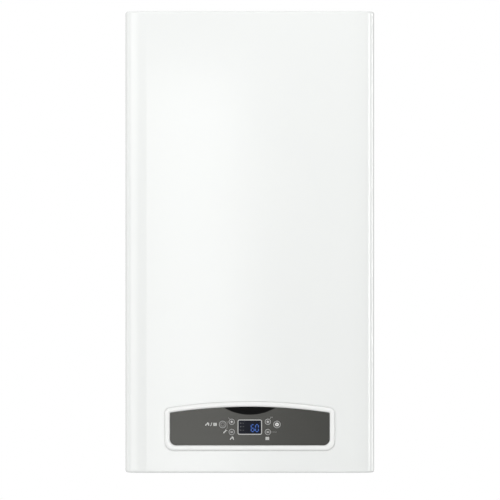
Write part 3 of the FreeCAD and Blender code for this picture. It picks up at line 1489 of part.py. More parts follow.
def group_block(name, sign):
    width = "(connection_spacing + group_inner_gap + group_outer_lap)"
    middle = "(3 * connection_spacing + group_outer_lap - group_inner_gap) / 2"
    return block(name, mid(f"{sign} * {middle}", width), out(GROUP_BACK, GROUP_FRONT),
                 span("group_base", GROUP_TOP))


def make_flow_group():
    middle = "group_base + group_height / 2"
    flow, flow_bore = connection("flow", "group_base", middle)
    hot, hot_bore = connection("hot", middle, middle)
    across = CONNECTIONS["flow"][0]
    port = rod("flow_port", "group_port_radius", "group_port_height + overrun",
               ("-flow_port_across", "pipe_depth", f"{GROUP_TOP} - overrun"), "up")
    tower = rod("diverter_tower", "diverter_radius", "diverter_height + overrun",
                (across, "pipe_depth", f"{GROUP_TOP} - overrun"), "up")
    whole = join("flow_group_whole", [group_block("flow_block", "-1"), port, tower] + flow + hot)
    tools = [
        flow_bore,
        hot_bore,
        rod("flow_port_bore", "pipe_radius - pipe_wall", "group_port_height + 3 * overrun",
            ("-flow_port_across", "pipe_depth", f"{GROUP_TOP} - 2 * overrun"), "up"),
        rod("diverter_cavity", "diverter_cavity_radius",
            f"{DIVERTER_TOP} - group_base - diverter_floor + overrun",
            (across, "pipe_depth", "group_base + diverter_floor"), "up"),
    ]
    piece("flow_group", cut("flow_group_cut", whole, tools))
    head = block("diverter_head", mid(across, "diverter_motor_width"),
                 mid("-pipe_depth", "diverter_motor_width"),
                 span(DIVERTER_TOP, f"{DIVERTER_TOP} + diverter_motor_height"))
    rounded = soften("diverter_rounded", head, "control_round", lambda edge: runs_along(edge, Z_AXIS))
    bore = rod("diverter_bore", "spindle_radius + shaft_play", "spindle_bore + overrun",
               (across, "pipe_depth", f"{DIVERTER_TOP} - overrun"), "up")
    piece("diverter_motor", cut("diverter_bored", rounded, [bore]))
    low = "(group_base + diverter_floor + spindle_lift)"
    piece("diverter_spindle", join("spindle_whole", [
        rod("spindle_rod", "spindle_radius", f"{DIVERTER_TOP} + spindle_reach - {low}",
            (across, "pipe_depth", low), "up"),
        rod("spindle_disc", "spindle_disc_radius", "spindle_disc_height", (across, "pipe_depth", low),
            "up"),
    ]))


def make_return_group():
    middle = "group_base + group_height / 2"
    back, back_bore = connection("return", middle, middle)
    cold, cold_bore = connection("cold", middle, middle)
    whole = join("return_group_whole", [group_block("return_block", "1")] + back + cold)
    tools = [
        back_bore,
        cold_bore,
        rod("fill_socket", "fill_stem_radius + shaft_play", "fill_stem_length + 2 * overrun",
            ("fill_across", "pipe_depth", "group_base - overrun"), "up"),
        rod("vessel_socket", "vessel_pipe_radius - pipe_wall", "group_depth / 4",
            ("vessel_pipe_across", f"{GROUP_BACK} - overrun", "vessel_pipe_height"), "front"),
        rod("pump_socket", "pump_port_radius / 2", "group_height / 2 + overrun",
            ("pump_across", "pipe_depth", "group_base + group_height / 2"), "up"),
    ]
    piece("return_group", cut("return_group_cut", whole, tools))


def make_pump():
    volute = rod("pump_volute", "pump_radius", "group_depth", ("pump_across", GROUP_BACK, "pump_height"),
                 "front")
    riser = rod("pump_riser", "pump_port_radius", f"{PUMP_TOP} - {GROUP_TOP}",
                ("pump_across", "pipe_depth", GROUP_TOP), "up")
    boss = rod("vent_boss", "vent_boss_radius", "vent_boss_top",
               (VENT_ACROSS, "pipe_depth", "pump_height"), "up")
    tools = [
        rod("pump_cavity", "pump_cavity_radius", "pump_cavity_depth + overrun",
            ("pump_across", f"{GROUP_FRONT} - pump_cavity_depth", "pump_height"), "front"),
        rod("pump_passage", "pump_port_radius / 2", f"{PUMP_TOP} - {GROUP_TOP} + 2 * overrun",
            ("pump_across", "pipe_depth", f"{GROUP_TOP} - overrun"), "up"),
    ]
    piece("pump_body", cut("pump_cut", join("pump_whole", [volute, riser, boss]), tools))
    can = join("pump_can", [
        rod("pump_flange", "pump_radius", "pump_wheel_gap", ("pump_across", GROUP_FRONT, "pump_height"),
            "front"),
        rod("pump_shell", "pump_motor_radius", "pump_motor_length",
            ("pump_across", GROUP_FRONT, "pump_height"), "front"),
        block("pump_box", mid("pump_across", "pump_box_width"),
              out(f"{GROUP_FRONT} + pump_box_gap", f"{GROUP_FRONT} + pump_box_gap + pump_box_depth"),
              span("pump_height", "pump_height + pump_motor_radius + pump_box_height")),
    ])
    bore = rod("pump_bore", "pump_shaft_radius + shaft_play", "pump_shaft_length + 2 * overrun",
               ("pump_across", f"{GROUP_FRONT} - overrun", "pump_height"), "front")
    piece("pump_motor", cut("pump_bored", can, [bore]))
    piece("pump_impeller", formed("pump_wheel", make_pump_wheel()))
    piece("air_vent", join("vent_whole", [
        rod("vent_can", "vent_radius", "vent_height",
            (VENT_ACROSS, "pipe_depth", "pump_height + vent_boss_top"), "up"),
        rod("vent_cap", "vent_cap_radius", "vent_height + vent_cap_height",
            (VENT_ACROSS, "pipe_depth", "pump_height + vent_boss_top"), "up"),
    ]))


VENT_ACROSS = "(pump_across - vent_offset)"


def make_pump_wheel():
    """A vaned wheel on its shaft, inside the pump's cavity."""
    front = spot("pump_across", f"{GROUP_FRONT} - pump_wheel_gap", "pump_height")
    disc = Part.makeCylinder(value("pump_wheel_radius"), value("pump_wheel_disc"), front, Y_AXIS)
    shaft_end = front - Y_AXIS * value("pump_wheel_gap + pump_shaft_length")
    width = value("pump_wheel_width")
    shaft = Part.makeCylinder(value("pump_shaft_radius"), (front - shaft_end).Length + width, shaft_end,
                              Y_AXIS)
    vane_width = value("pump_wheel_disc")
    corner = FreeCAD.Vector(front.x, front.y, front.z - vane_width / 2)
    vane = Part.makeBox(value("pump_wheel_radius - pump_wheel_disc"), width, vane_width, corner)
    vanes = [vane.rotated(front, Y_AXIS, FULL_TURN * number / VANES) for number in range(VANES)]
    return disc.multiFuse([shaft] + vanes).removeSplitter()


def make_heating_pipes():
    flow = [
        spot(f"-{TUBE_END}", TUBE_LAST, TUBE_HEIGHT),
        spot("-pipe_side", TUBE_LAST, TUBE_HEIGHT),
        spot("-pipe_side", TUBE_LAST, "flow_bend_height"),
        spot("-flow_port_across", "pipe_depth", "flow_bend_height"),
        spot("-flow_port_across", "pipe_depth", f"{GROUP_TOP} + group_port_height"),
    ]
    back = [
        spot("pump_across", "pipe_depth", PUMP_TOP),
        spot("pump_across", "pipe_depth", "return_bend_height"),
        spot("pipe_side", "pipe_depth", "return_bend_height"),
        spot("pipe_side", "pipe_depth", TUBE_HEIGHT),
        spot(TUBE_END, "pipe_depth", TUBE_HEIGHT),
    ]
    piece("heating_pipes", group("pipe_pair", [
        tube("flow_pipe", flow, "pipe_bend", "pipe_radius", "pipe_wall"),
        tube("return_pipe", back, "pipe_bend", "pipe_radius", "pipe_wall"),
    ]))
    clips = []
    places = {
        "flow": ("-flow_port_across", "pipe_depth",
                 f"{GROUP_TOP} + 2 * group_port_height + sensor_height"),
        "return": ("pipe_side", "pipe_depth", f"{BURNER_TOP} + sight_lift"),
        "limit": ("-pipe_side", TUBE_LAST, f"{FIN_BASE} - sight_lift"),
    }
    for name, (across, away, height) in places.items():
        inner = "(pipe_radius + sensor_play)"
        ring = rod(f"sensor_ring_{name}", f"{inner} + sensor_ring", "sensor_height",
                   (across, away, height), "up")
        head = block(f"sensor_head_{name}", mid(across, "sensor_block"),
                     out(f"{away} + pipe_radius", f"{away} + pipe_radius + sensor_block_length"),
                     (height, "sensor_height"))
        hole = rod(f"sensor_hole_{name}", inner, "sensor_height + 2 * overrun",
                   (across, away, f"{height} - overrun"), "up")
        clips.append(cut(f"sensor_{name}", join(f"sensor_whole_{name}", [ring, head]), [hole]))
    piece("temperature_sensors", group("sensor_set", clips))


def make_plate_exchanger():
    stack = block("plate_stack", mid("0", "plate_width"), out(f"{GROUP_BACK} - plate_depth", GROUP_BACK),
                  span("plate_base", "plate_base + plate_height"))
    rounded = soften("plate_rounded", stack, "plate_round", lambda edge: runs_along(edge, Y_AXIS))
    tools = [block("plate_hollow", mid("0", "plate_width - 2 * plate_wall"),
                   out(f"{GROUP_BACK} - plate_depth + plate_wall", f"{GROUP_BACK} - plate_wall"),
                   span("plate_base + plate_wall", "plate_base + plate_height - plate_wall"))]
    for side, sign in SIDES.items():
        for level, way in SIDES.items():
            tools.append(rod(f"plate_port_{side}_{level}", "plate_port_radius",
                             "plate_wall + 2 * overrun",
                             (f"{sign} * (plate_width / 2 - plate_port_inset)",
                              f"{GROUP_BACK} - plate_wall - overrun",
                              f"plate_base + plate_height / 2 + {way} * plate_port_lift"), "front"))
    piece("plate_exchanger", cut("plate_cut", rounded, tools))


def make_safety_valve():
    face = f"({GROUP_FRONT} + safety_length)"
    body = join("safety_whole", [
        rod("safety_body", "safety_radius", "safety_length",
            ("safety_across", GROUP_FRONT, "safety_height"), "front"),
        rod("safety_outlet", "safety_outlet_radius", "safety_height - safety_outlet_end",
            ("safety_across", SAFETY_OUTLET_OUT, "safety_outlet_end"), "up"),
        rod("safety_collar", "safety_collar_radius", "safety_height - safety_collar_base",
            ("safety_across", SAFETY_OUTLET_OUT, "safety_collar_base"), "up"),
    ])
    tools = [
        rod("safety_bore", "safety_outlet_bore", "safety_height - safety_outlet_end - safety_radius",
            ("safety_across", SAFETY_OUTLET_OUT, "safety_outlet_end - overrun"), "up"),
        rod("safety_stem_hole", "safety_stem_radius + shaft_play", "safety_stem_length + 2 * overrun",
            ("safety_across", f"{face} + overrun", "safety_height"), "back"),
    ]
    piece("safety_valve", cut("safety_cut", body, tools))
    back = f"({face} + safety_knob_gap)"
    tip = f"({back} + safety_knob_length)"
    piece("safety_knob", join("safety_knob_whole", [
        rod("safety_stem", "safety_stem_radius", "safety_stem_length + safety_knob_gap + overrun",
            ("safety_across", f"{back} + overrun", "safety_height"), "back"),
        rod("safety_grip", "safety_knob_radius", "safety_knob_length - grip_height",
            ("safety_across", back, "safety_height"),
            "front"),
        block("safety_bar", mid("safety_across", "grip_width"), out(back, tip),
              mid("safety_height", "2 * safety_knob_radius - grip_height")),
    ]))
    low = "(fill_knob_base + grip_height)"
    top = "(fill_knob_base + fill_knob_height)"
    piece("filling_knob", join("fill_whole", [
        rod("fill_stem", "fill_stem_radius", f"group_base + fill_stem_length - {low}",
            ("fill_across", "pipe_depth", low), "up"),
        rod("fill_grip", "fill_knob_radius", f"{top} - {low}", ("fill_across", "pipe_depth", low), "up"),
        block("fill_bar", mid("fill_across", "grip_width"),
              mid("-pipe_depth", "2 * fill_knob_radius - grip_height"),
              span("fill_knob_base", top)),
    ]))


def make_pressure_gauge():
    across = "-gauge_across"
    can = join("gauge_whole", [
        rod("gauge_can", "gauge_radius", "gauge_top - gauge_face", (across, "pipe_depth", "gauge_face"),
            "up"),
        rod("gauge_stem", "gauge_stem_radius", "group_base - gauge_face - gauge_recess",
            (across, "pipe_depth", "gauge_face + gauge_recess"),
            "up"),
    ])
    tools = [
        rod("gauge_dial", "gauge_radius - gauge_rim", "gauge_recess + overrun",
            (across, "pipe_depth", "gauge_face - overrun"), "up"),
        rod("gauge_pivot", "needle_pivot_radius + shaft_play", "needle_pivot_length + 2 * overrun",
            (across, "pipe_depth", "gauge_face"), "up"),
    ]
    piece("pressure_gauge", cut("gauge_cut", can, tools))
    low = "(gauge_face + gauge_recess - needle_gap - needle_sheet)"
    piece("gauge_needle", join("needle_whole", [
        rod("needle_pin", "needle_pivot_radius", "needle_pivot_length", (across, "pipe_depth", low),
            "up"),
        block("needle_bar", mid(across, "needle_width"),
              out("pipe_depth - needle_tail", "pipe_depth + needle_length"),
              (low, "needle_sheet")),
    ]))


def make_gas_line():
    base = "gas_valve_base"
    casting = block("valve_casting", mid("0", "gas_valve_width"), mid("-pipe_depth", "gas_valve_depth"),
                    span(base, GAS_VALVE_TOP))
    rounded = soften("valve_rounded", casting, "control_round", lambda edge: runs_along(edge, Z_AXIS))
    front = "(pipe_depth + gas_valve_depth / 2 - overrun)"
    middle = f"({base} + gas_valve_height / 2)"
    members = [
        rounded,
        rod("valve_inlet", "gas_port_radius", "gas_port_height + overrun",
            ("0", "pipe_depth", f"{base} - gas_port_height"), "up"),
        rod("valve_outlet", "gas_port_radius", "gas_port_height + overrun",
            ("0", "pipe_depth", f"{GAS_VALVE_TOP} - overrun"), "up"),
        rod("valve_cap", "gas_cap_radius", "gas_cap_length + overrun",
            ("overrun - gas_valve_width / 2", "pipe_depth", middle), "left"),
    ]
    for side, sign in SIDES.items():
        members.append(rod(f"valve_coil_{side}", "gas_coil_radius", "gas_coil_length + overrun",
                           (f"{sign} * gas_coil_spacing / 2", front, middle), "front"))
    piece("gas_valve", join("valve_whole", members))
    foot = f"({base} - gas_port_height)"
    nipple = nipple_with_nut("gas", "nut_base + nut_height")
    riser = rod("gas_riser", "gas_pipe_radius", f"{foot} - nut_base", ("0", "pipe_depth", "nut_base"),
                "up")
    inlet = join("gas_inlet_whole", nipple + [riser])
    hollow = rod("gas_riser_bore", "gas_pipe_radius - gas_pipe_wall",
                 f"{foot} - connection_end + 2 * overrun",
                 ("0", "pipe_depth", "connection_end - overrun"), "up")
    mouth = rod("gas_mouth", "big_bore_radius", "nut_base - connection_end",
                ("0", "pipe_depth", "connection_end - overrun"), "up")
    points = [
        spot("0", "pipe_depth", f"{GAS_VALVE_TOP} + gas_port_height"),
        spot("0", "pipe_depth", "burner_pipe_height"),
        spot("0", f"{RAIL_FRONT} - rail_depth / 2", "burner_pipe_height"),
        spot("0", f"{RAIL_FRONT} - rail_depth / 2", f"{RAIL_HEIGHT} - rail_depth / 2"),
    ]
    piece("gas_pipes", group("gas_pair", [
        cut("gas_inlet_pipe", inlet, [hollow, mouth]),
        tube("burner_gas_pipe", points, "pipe_bend", "burner_pipe_radius", "gas_pipe_wall"),
    ]))


BUTTONS = {
    "water_up_button": ("-button_across", "button_upper_height", "button_radius"),
    "water_down_button": ("-button_across", "button_lower_height", "button_radius"),
    "heat_up_button": ("button_across", "button_upper_height", "button_radius"),
    "heat_down_button": ("button_across", "button_lower_height", "button_radius"),
    "mode_button": ("-round_button_across", "round_button_height", "round_button_radius"),
    "power_button": ("round_button_across", "round_button_height", "round_button_radius"),
}
BOARD_CORNERS = [(sign_x, sign_z) for sign_x in SIDES.values() for sign_z in SIDES.values()]


def make_control_housing():
    lid_face = f"({CONTROL_BACK} + lid_sheet)"
    shell = block("housing_outer", mid("0", "control_width"), out(lid_face, CONTROL_FRONT),
                  span("control_base", CONTROL_TOP))
    rounded = soften("housing_rounded", shell, "control_round", lambda edge: runs_along(edge, Y_AXIS))
    hollow = block("housing_hollow", mid("0", "control_width - 2 * control_wall"),
                   out(f"{lid_face} - overrun", f"{CONTROL_FRONT} - control_wall"),
                   span("control_base + control_wall", f"{CONTROL_TOP} - control_wall"))
    window = block("housing_window", mid("0", "display_width - 2 * window_inset"),
                   out(f"{CONTROL_FRONT} - control_wall - overrun", f"{CONTROL_FRONT} + overrun"),
                   mid("display_centre_height", "display_height - 2 * window_inset"))
    tools = [hollow, window]
    for name, (across, height, radius) in BUTTONS.items():
        tools.append(rod(f"{name}_well", f"{radius} + button_flange + button_play",
                         "control_wall + 2 * overrun",
                         (across, f"{CONTROL_FRONT} - control_wall - overrun", height), "front"))
    members = [cut("housing_open", rounded, tools)]
    for side, sign in SIDES.items():
        members.append(rod(f"trunnion_{side}", "pivot_radius", "ear_gap + ear_sheet + control_wall",
                           (f"{sign} * ({CONTROL_HALF} - control_wall)", PIVOT_OUT, PIVOT_HEIGHT), side))
    for number, (sign_x, sign_z) in enumerate(BOARD_CORNERS):
        members.append(rod(f"housing_boss_{number}", "boss_radius", "boss_length + control_wall / 2",
                           (f"{sign_x} * (board_width / 2 - boss_radius)", BOARD_FACE,
                            f"board_centre_height + {sign_z} * (board_height / 2 - boss_radius)"), "front"))
    piece("control_housing", join("housing_whole", members))
    lid = block("lid_plate", mid("0", "control_width"), out(CONTROL_BACK, lid_face),
                span("control_base", CONTROL_TOP))
    lid_rounded = soften("lid_rounded", lid, "control_round", lambda edge: runs_along(edge, Y_AXIS))
    play = "(control_wall + panel_play)"
    lip_outer = block("lid_lip_outer", mid("0", f"control_width - 2 * {play}"),
                      out(CONTROL_BACK, f"{lid_face} + lid_rib_height"),
                      span(f"control_base + {play}", f"{CONTROL_TOP} - {play}"))
    lip_inner = block("lid_lip_inner", mid("0", f"control_width - 2 * ({play} + lid_rib_width)"),
                      out(lid_face, f"{lid_face} + lid_rib_height + overrun"),
                      span(f"control_base + {play} + lid_rib_width",
                           f"{CONTROL_TOP} - {play} - lid_rib_width"))
    lip = cut("lid_lip", lip_outer, [lip_inner])
    piece("control_lid", join("lid_whole", [lid_rounded, lip]))


def make_control_board():
    back = f"({BOARD_FACE} - board_sheet)"
    low = "(board_centre_height - board_height / 2)"
    members = [
        block("board_sheet_plate", mid("0", "board_width"), out(back, BOARD_FACE),
              span(low, f"{low} + board_height")),
        block("transformer", mid("board_width / 4", "transformer_width"),
              out(f"{back} - transformer_depth", BOARD_FACE),
              mid("board_centre_height", "transformer_width")),
    ]
    for number in range(3):
        members.append(block(f"relay_{number}",
                             mid(f"-{number} * relay_spacing - relay_spacing", "relay_width"),
                             out(f"{back} - relay_depth", BOARD_FACE),
                             mid("board_centre_height", "relay_height")))
    piece("control_board", join("board_whole", members))


def make_bezel_and_fascia():
    body, sketch = new_body("bezel_body", "XZ_Plane", CONTROL_FRONT)
    panel_loop(sketch, "outer", "bezel_width / 2", "bezel_base", "bezel_peak", "bezel_corner_radius",
               "bezel_shoulder_radius")
    panel_loop(sketch, "inner", FASCIA_HALF, FASCIA_BASE, FASCIA_PEAK, "fascia_corner_radius",
               "fascia_shoulder_radius")
    grown = pad(body, sketch, "bezel_depth")
    front = -value("bezel_depth")
    round_edges(body, grown, "bezel_edge_radius", lambda edge: at_y(edge, front))
    piece("bezel", body)
    face_body, face_sketch = new_body("fascia_body", "XZ_Plane", CONTROL_FRONT)
    panel_loop(face_sketch, "fascia", f"{FASCIA_HALF} - fascia_play", f"{FASCIA_BASE} + fascia_play",
               f"{FASCIA_PEAK} - fascia_play", "fascia_corner_radius - fascia_play",
               "fascia_shoulder_radius - fascia_play")
    pad(face_body, face_sketch, "fascia_depth")
    through = (f"{CONTROL_FRONT} - overrun", f"{FASCIA_FACE} + overrun")
    opening = block("fascia_window", mid("0", "display_width + 2 * display_play"), out(*through),
                    mid("display_centre_height", "display_height + 2 * display_play"))
    tools = [soften("fascia_window_round", opening, "display_round + display_play",
                    lambda edge: runs_along(edge, Y_AXIS))]
    for name, (across, height, radius) in BUTTONS.items():
        tools.append(rod(f"{name}_hole", f"{radius} + button_play", "fascia_depth + 2 * overrun",
                         (across, through[0], height), "front"))
    piece("fascia", cut("fascia_cut", face_body, tools))
    lens = block("lens_plate", mid("0", "display_width"), out(CONTROL_FRONT, FASCIA_FACE),
                 mid("display_centre_height", "display_height"))
    piece("display_lens",
          soften("lens_round", lens, "display_round", lambda edge: runs_along(edge, Y_AXIS)))
    make_badge()


def make_badge():
    """A thin crescent that fills the top of the fascia under its arch."""
    body, sketch = new_body("badge_body", "XZ_Plane", FASCIA_FACE)
    half_width = value("badge_width / 2")
    arch = value("arch_radius")
    arch_centre = value(f"{FASCIA_PEAK} - fascia_play") - arch
    lean = math.degrees(math.acos(half_width / arch))
    eave = arch_centre + math.sqrt(arch ** 2 - half_width ** 2)
    drop = eave - value(f"{FASCIA_PEAK} - badge_drop")
    bowl = (half_width ** 2 + drop ** 2) / (2 * drop)
    dip = math.degrees(math.asin(half_width / bowl))
    edges = [
        arc((0, arch_centre), arch, lean, HALF_TURN - lean),
        arc((0, eave - drop + bowl), bowl, -QUARTER_TURN - dip, dip - QUARTER_TURN),
    ]
    first = draw_loop(sketch, edges, [False, False])
    hold_radius(sketch, first, "badge_arch", "arch_radius")
    pad(body, sketch, "badge_sheet")
    piece("badge", body)


def make_buttons():
    for name, (across, height, radius) in BUTTONS.items():
        flange_face = f"({CONTROL_FRONT} - button_flange_gap)"
        flange_back = f"({flange_face} - button_flange_depth)"
        stem_end = f"({BOARD_FACE} + button_travel + button_stop_gap)"
        cap = rod(f"{name}_cap", radius, f"{FASCIA_FACE} + button_stand - {flange_back}",
                  (across, flange_back, height), "front")
        front = -value(f"{FASCIA_FACE} + button_stand")
        rounded = soften(f"{name}_round", cap, "button_edge_radius", lambda edge: at_y(edge, front))
        flange = rod(f"{name}_flange", f"{radius} + button_flange", "button_flange_depth",
                     (across, flange_back, height), "front")
        stem = rod(f"{name}_stem", "button_stem_radius", f"{flange_face} - {stem_end}",
                   (across, stem_end, height), "front")
        piece(name, join(f"{name}_whole", [rounded, flange, stem]))


def make_cable_gland():
    across = "-gland_across"
    whole = join("gland_whole", [
        rod("gland_dome", "gland_radius", "gland_drop", (across, "gland_out", "tray_height - gland_drop"),
            "up"),
        rod("gland_shank", "gland_shank_radius", "gland_drop + frame_sheet + gland_nut_height",
            (across, "gland_out", "tray_height - gland_drop"), "up"),
        nut("gland_nut", "gland_radius", "gland_nut_height",
            (across, "gland_out", "tray_height + frame_sheet"), "up"),
    ])
    bore = rod("gland_bore", "gland_bore_radius",
               "gland_drop + frame_sheet + gland_nut_height + 2 * overrun",
               (across, "gland_out", "tray_height - gland_drop - overrun"), "up")
    piece("cable_gland", cut("gland_cut", whole, [bore]))


def make_all():
    make_back_frame()
    make_wall_bracket()
    for side, sign in SIDES.items():
        make_side_panel(side, sign)
    make_front_cover()
    make_screws()
    make_bottom_tray()
    make_air_chamber()
    make_chamber_door()
    make_burner()
    make_flame_space()
    make_heat_exchanger()
    make_flue_hood()
    make_fan()
    make_flue_collar()
    make_pressure_switch()
    make_expansion_vessel()
    make_flow_group()
    make_return_group()
    make_pump()
    make_heating_pipes()
    make_plate_exchanger()
    make_safety_valve()
    make_pressure_gauge()
    make_gas_line()
    make_control_housing()
    make_control_board()
    make_bezel_and_fascia()
    make_buttons()
    make_cable_gland()


def check_all():
    """Stop if any object failed or any piece has no sound solid."""
    for thing in doc.Objects:
        if {"Invalid", "Error"} & set(thing.State):
            raise RuntimeError(f"{thing.Name} did not build: {thing.State}")
    for thing in pieces:
        if thing.Shape.isNull() or not thing.Shape.isValid() or not thing.Shape.Solids:
            raise RuntimeError(f"{thing.Label} has no sound solid")


def export_all():
    os.makedirs("parts", exist_ok=True)
    for thing in pieces:
        thing.Shape.exportStep(f"parts/{thing.Label}.step")
        print(thing.Label, len(thing.Shape.Solids), round(thing.Shape.Volume))


fill_sheet()
make_all()
doc.recompute()
check_all()
export_all()
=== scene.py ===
import json
import math
from collections import namedtuple

import bmesh
import bpy
from mathutils import Matrix, Vector


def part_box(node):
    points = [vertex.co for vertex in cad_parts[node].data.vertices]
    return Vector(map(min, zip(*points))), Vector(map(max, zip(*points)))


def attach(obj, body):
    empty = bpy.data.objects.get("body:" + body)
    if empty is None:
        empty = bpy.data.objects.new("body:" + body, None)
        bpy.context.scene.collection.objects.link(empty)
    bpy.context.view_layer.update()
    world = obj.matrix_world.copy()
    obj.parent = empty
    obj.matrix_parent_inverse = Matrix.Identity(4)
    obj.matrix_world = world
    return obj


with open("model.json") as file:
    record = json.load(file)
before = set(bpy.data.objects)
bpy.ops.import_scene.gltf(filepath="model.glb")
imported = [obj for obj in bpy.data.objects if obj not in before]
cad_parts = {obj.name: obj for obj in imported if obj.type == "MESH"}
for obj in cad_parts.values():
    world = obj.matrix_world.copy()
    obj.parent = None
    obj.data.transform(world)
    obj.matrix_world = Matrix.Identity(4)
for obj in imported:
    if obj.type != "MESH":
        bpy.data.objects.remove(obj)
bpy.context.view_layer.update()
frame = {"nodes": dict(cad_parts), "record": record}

# Places and sizes on the boiler are in millimetres: across from its middle, up from the casing's bottom
# edge, and out from the wall. The frame is in metres.
METRE = 1000
BOTTOM = -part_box("front_cover")[0][2]
Box = namedtuple("Box", "left right back front base top")


def at(across, height, out):
    return Vector((across / METRE, -out / METRE, height / METRE - BOTTOM))


def box_of(node):
    low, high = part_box(node)
    return Box(METRE * low[0], METRE * high[0], -METRE * high[1], -METRE * low[1],
               METRE * (low[2] + BOTTOM), METRE * (high[2] + BOTTOM))


def point_on(node, shift=(0, 0)):
    """A point on a node's front, from its middle: across and height."""
    box = box_of(node)
    return (box.left + box.right) / 2 + shift[0], (box.base + box.top) / 2 + shift[1]


def joint_place(name):
    """A joint's own point: across, height and out."""
    joints = {joint["name"]: joint for joint in frame["record"]["behaviour"]["joints"]}
    across, away, lift = joints[name]["pos_m"]
    return METRE * across, METRE * (lift + BOTTOM), -METRE * away


# The faces that carry print, and how thick the print is
PANEL = box_of("fascia").front
LENS = box_of("display_lens").front
CAP = box_of("mode_button").front
INK = 0.12
FINE_INK = 0.05
CAP_INK = 0.08

# Finishes

# Depths of relief on a surface, in metres
INK_RELIEF = 0.0001
FILM_RELIEF = 0.0002
GRAIN_RELIEF = 0.0003
CAST_RELIEF = 0.0006
GLOSS_IOR = 1.5
PLASTIC_IOR = 1.48


class Thread:
    """One socket of a finish. Sums of threads add Math nodes."""

    def __init__(self, tree, socket=None):
        self.tree = tree
        self.socket = socket

    def node(self, kind, sockets=None, settings=None, out=0):
        """A node with its sockets linked or set. Colours come as red, green and blue."""
        made = self.tree.nodes.new(f"ShaderNode{kind}")
        for name, setting in (settings or {}).items():
            setattr(made, name, setting)
        for name, content in (sockets or {}).items():
            socket = made.inputs[name]
            if isinstance(content, Thread):
                self.tree.links.new(content.socket, socket)
            else:
                socket.default_value = (*content, 1) if socket.type == "RGBA" else content
        return Thread(self.tree, made.outputs[out] if made.outputs else None)

    def sum(self, operation, first, second):
        return self.node("Math", {0: first, 1: second}, {"operation": operation})

    def __add__(self, other):
        return self.sum("ADD", self, other)

    def __radd__(self, other):
        return self.sum("ADD", other, self)

    def __mul__(self, other):
        return self.sum("MULTIPLY", self, other)


def grey(level):
    return (level, level, level)


def blend(tree, share, first, second):
    return tree.node("MixShader", {0: share, 1: first, 2: second})


def new_finish(name):
    finish = bpy.data.materials.new(name)
    finish.use_nodes = True
    finish.node_tree.nodes.clear()
    return finish, Thread(finish.node_tree)


def places(tree, stretch=None):
    """Object coordinates, stretched along the axes if asked."""
    here = tree.node("TexCoord", out="Object")
    if stretch is None:
        return here
    return tree.node("Mapping", {"Vector": here, "Scale": stretch})


def mottle(tree, where, scale=1, detail=3, rough=0.55):
    return tree.node("TexNoise", {"Vector": where, "Scale": scale, "Detail": detail, "Roughness": rough})


def between(tree, share, first, second):
    return tree.node("Mix", {0: share, 6: first, 7: second}, {"data_type": "RGBA"}, out=2)


def step(tree, level, low, high):
    """A soft step from 0 at one level to 1 at another."""
    ends = {"Value": level, "From Min": low, "From Max": high, "To Min": 0.0, "To Max": 1.0}
    return tree.node("MapRange", ends, {"interpolation_type": "SMOOTHSTEP"})


def relief(tree, height, strength, depth):
    return tree.node("Bump", {"Strength": strength, "Distance": depth, "Height": height})


def build(name, recipe, *values):
    """A finish from a recipe, which gives the sockets of its one Principled shader."""
    finish, tree = new_finish(name)
    surface = tree.node("BsdfPrincipled", recipe(tree, *values))
    tree.node("OutputMaterial", {"Surface": surface})
    return finish


def enamel(tree, colour, shaded, gloss):
    """Sprayed and baked paint: a faint peel, and gloss that wanders a little."""
    where = places(tree)
    cloud = mottle(tree, where, scale=5, detail=2)
    peel = mottle(tree, where, scale=900, detail=2)
    return {
        "Base Color": between(tree, cloud, shaded, colour),
        "Roughness": gloss + cloud * 0.03,
        "Normal": relief(tree, peel, strength=0.05, depth=FILM_RELIEF),
        "IOR": GLOSS_IOR,
    }


def moulded(tree, colour, shaded, gloss, grain=1400, strength=0.12):
    """Moulded plastic with a fine spark-eroded grain."""
    where = places(tree)
    cloud = mottle(tree, where, scale=18)
    fine = mottle(tree, where, grain, detail=2)
    return {
        "Base Color": between(tree, cloud, shaded, colour),
        "Roughness": gloss + cloud * 0.08 + fine * 0.04,
        "Normal": relief(tree, fine, strength, GRAIN_RELIEF),
        "IOR": PLASTIC_IOR,
    }


def galvanised(tree):
    """Zinc-coated sheet: dull spangles and roller marks."""
    where = places(tree)
    spangle = tree.node("TexVoronoi", {"Vector": where, "Scale": 190.0}, out="Color")
    flake = tree.node("SeparateColor", {"Color": spangle})
    rolled = mottle(tree, places(tree, stretch=(900, 900, 14)), detail=2)
    cloud = mottle(tree, where, scale=9, detail=4)
    share = flake * 0.3 + rolled * 0.3 + cloud * 0.4
    return {
        "Base Color": between(tree, share, (0.47, 0.48, 0.49), (0.72, 0.73, 0.735)),
        "Metallic": 1.0,
        "Roughness": 0.34 + share * 0.22,
        "Normal": relief(tree, rolled + flake * 0.3, strength=0.06, depth=GRAIN_RELIEF),
    }


def drawn_steel(tree, dark, light, stretch, gloss):
    """Bare steel with the lines of drawing or rolling along one axis."""
    lines = mottle(tree, places(tree, stretch))
    cloud = mottle(tree, places(tree), scale=22, detail=4)
    share = lines * 0.6 + cloud * 0.4
    return {
        "Base Color": between(tree, share, dark, light),
        "Metallic": 1.0,
        "Roughness": gloss + lines * 0.16,
        "Normal": relief(tree, lines, strength=0.08, depth=GRAIN_RELIEF),
    }


def tarnished(tree, bright, dull, gloss):
    """Bare copper or brass: bright where handled, duller in clouds, with fine pits."""
    where = places(tree)
    cloud = step(tree, mottle(tree, where, scale=28, detail=6, rough=0.62), low=0.35, high=0.68)
    fine = mottle(tree, where, scale=420)
    return {
        "Base Color": between(tree, cloud, bright, dull),
        "Metallic": 1.0,
        "Roughness": gloss + cloud * 0.18 + fine * 0.06,
        "Normal": relief(tree, fine, strength=0.08, depth=GRAIN_RELIEF),
    }


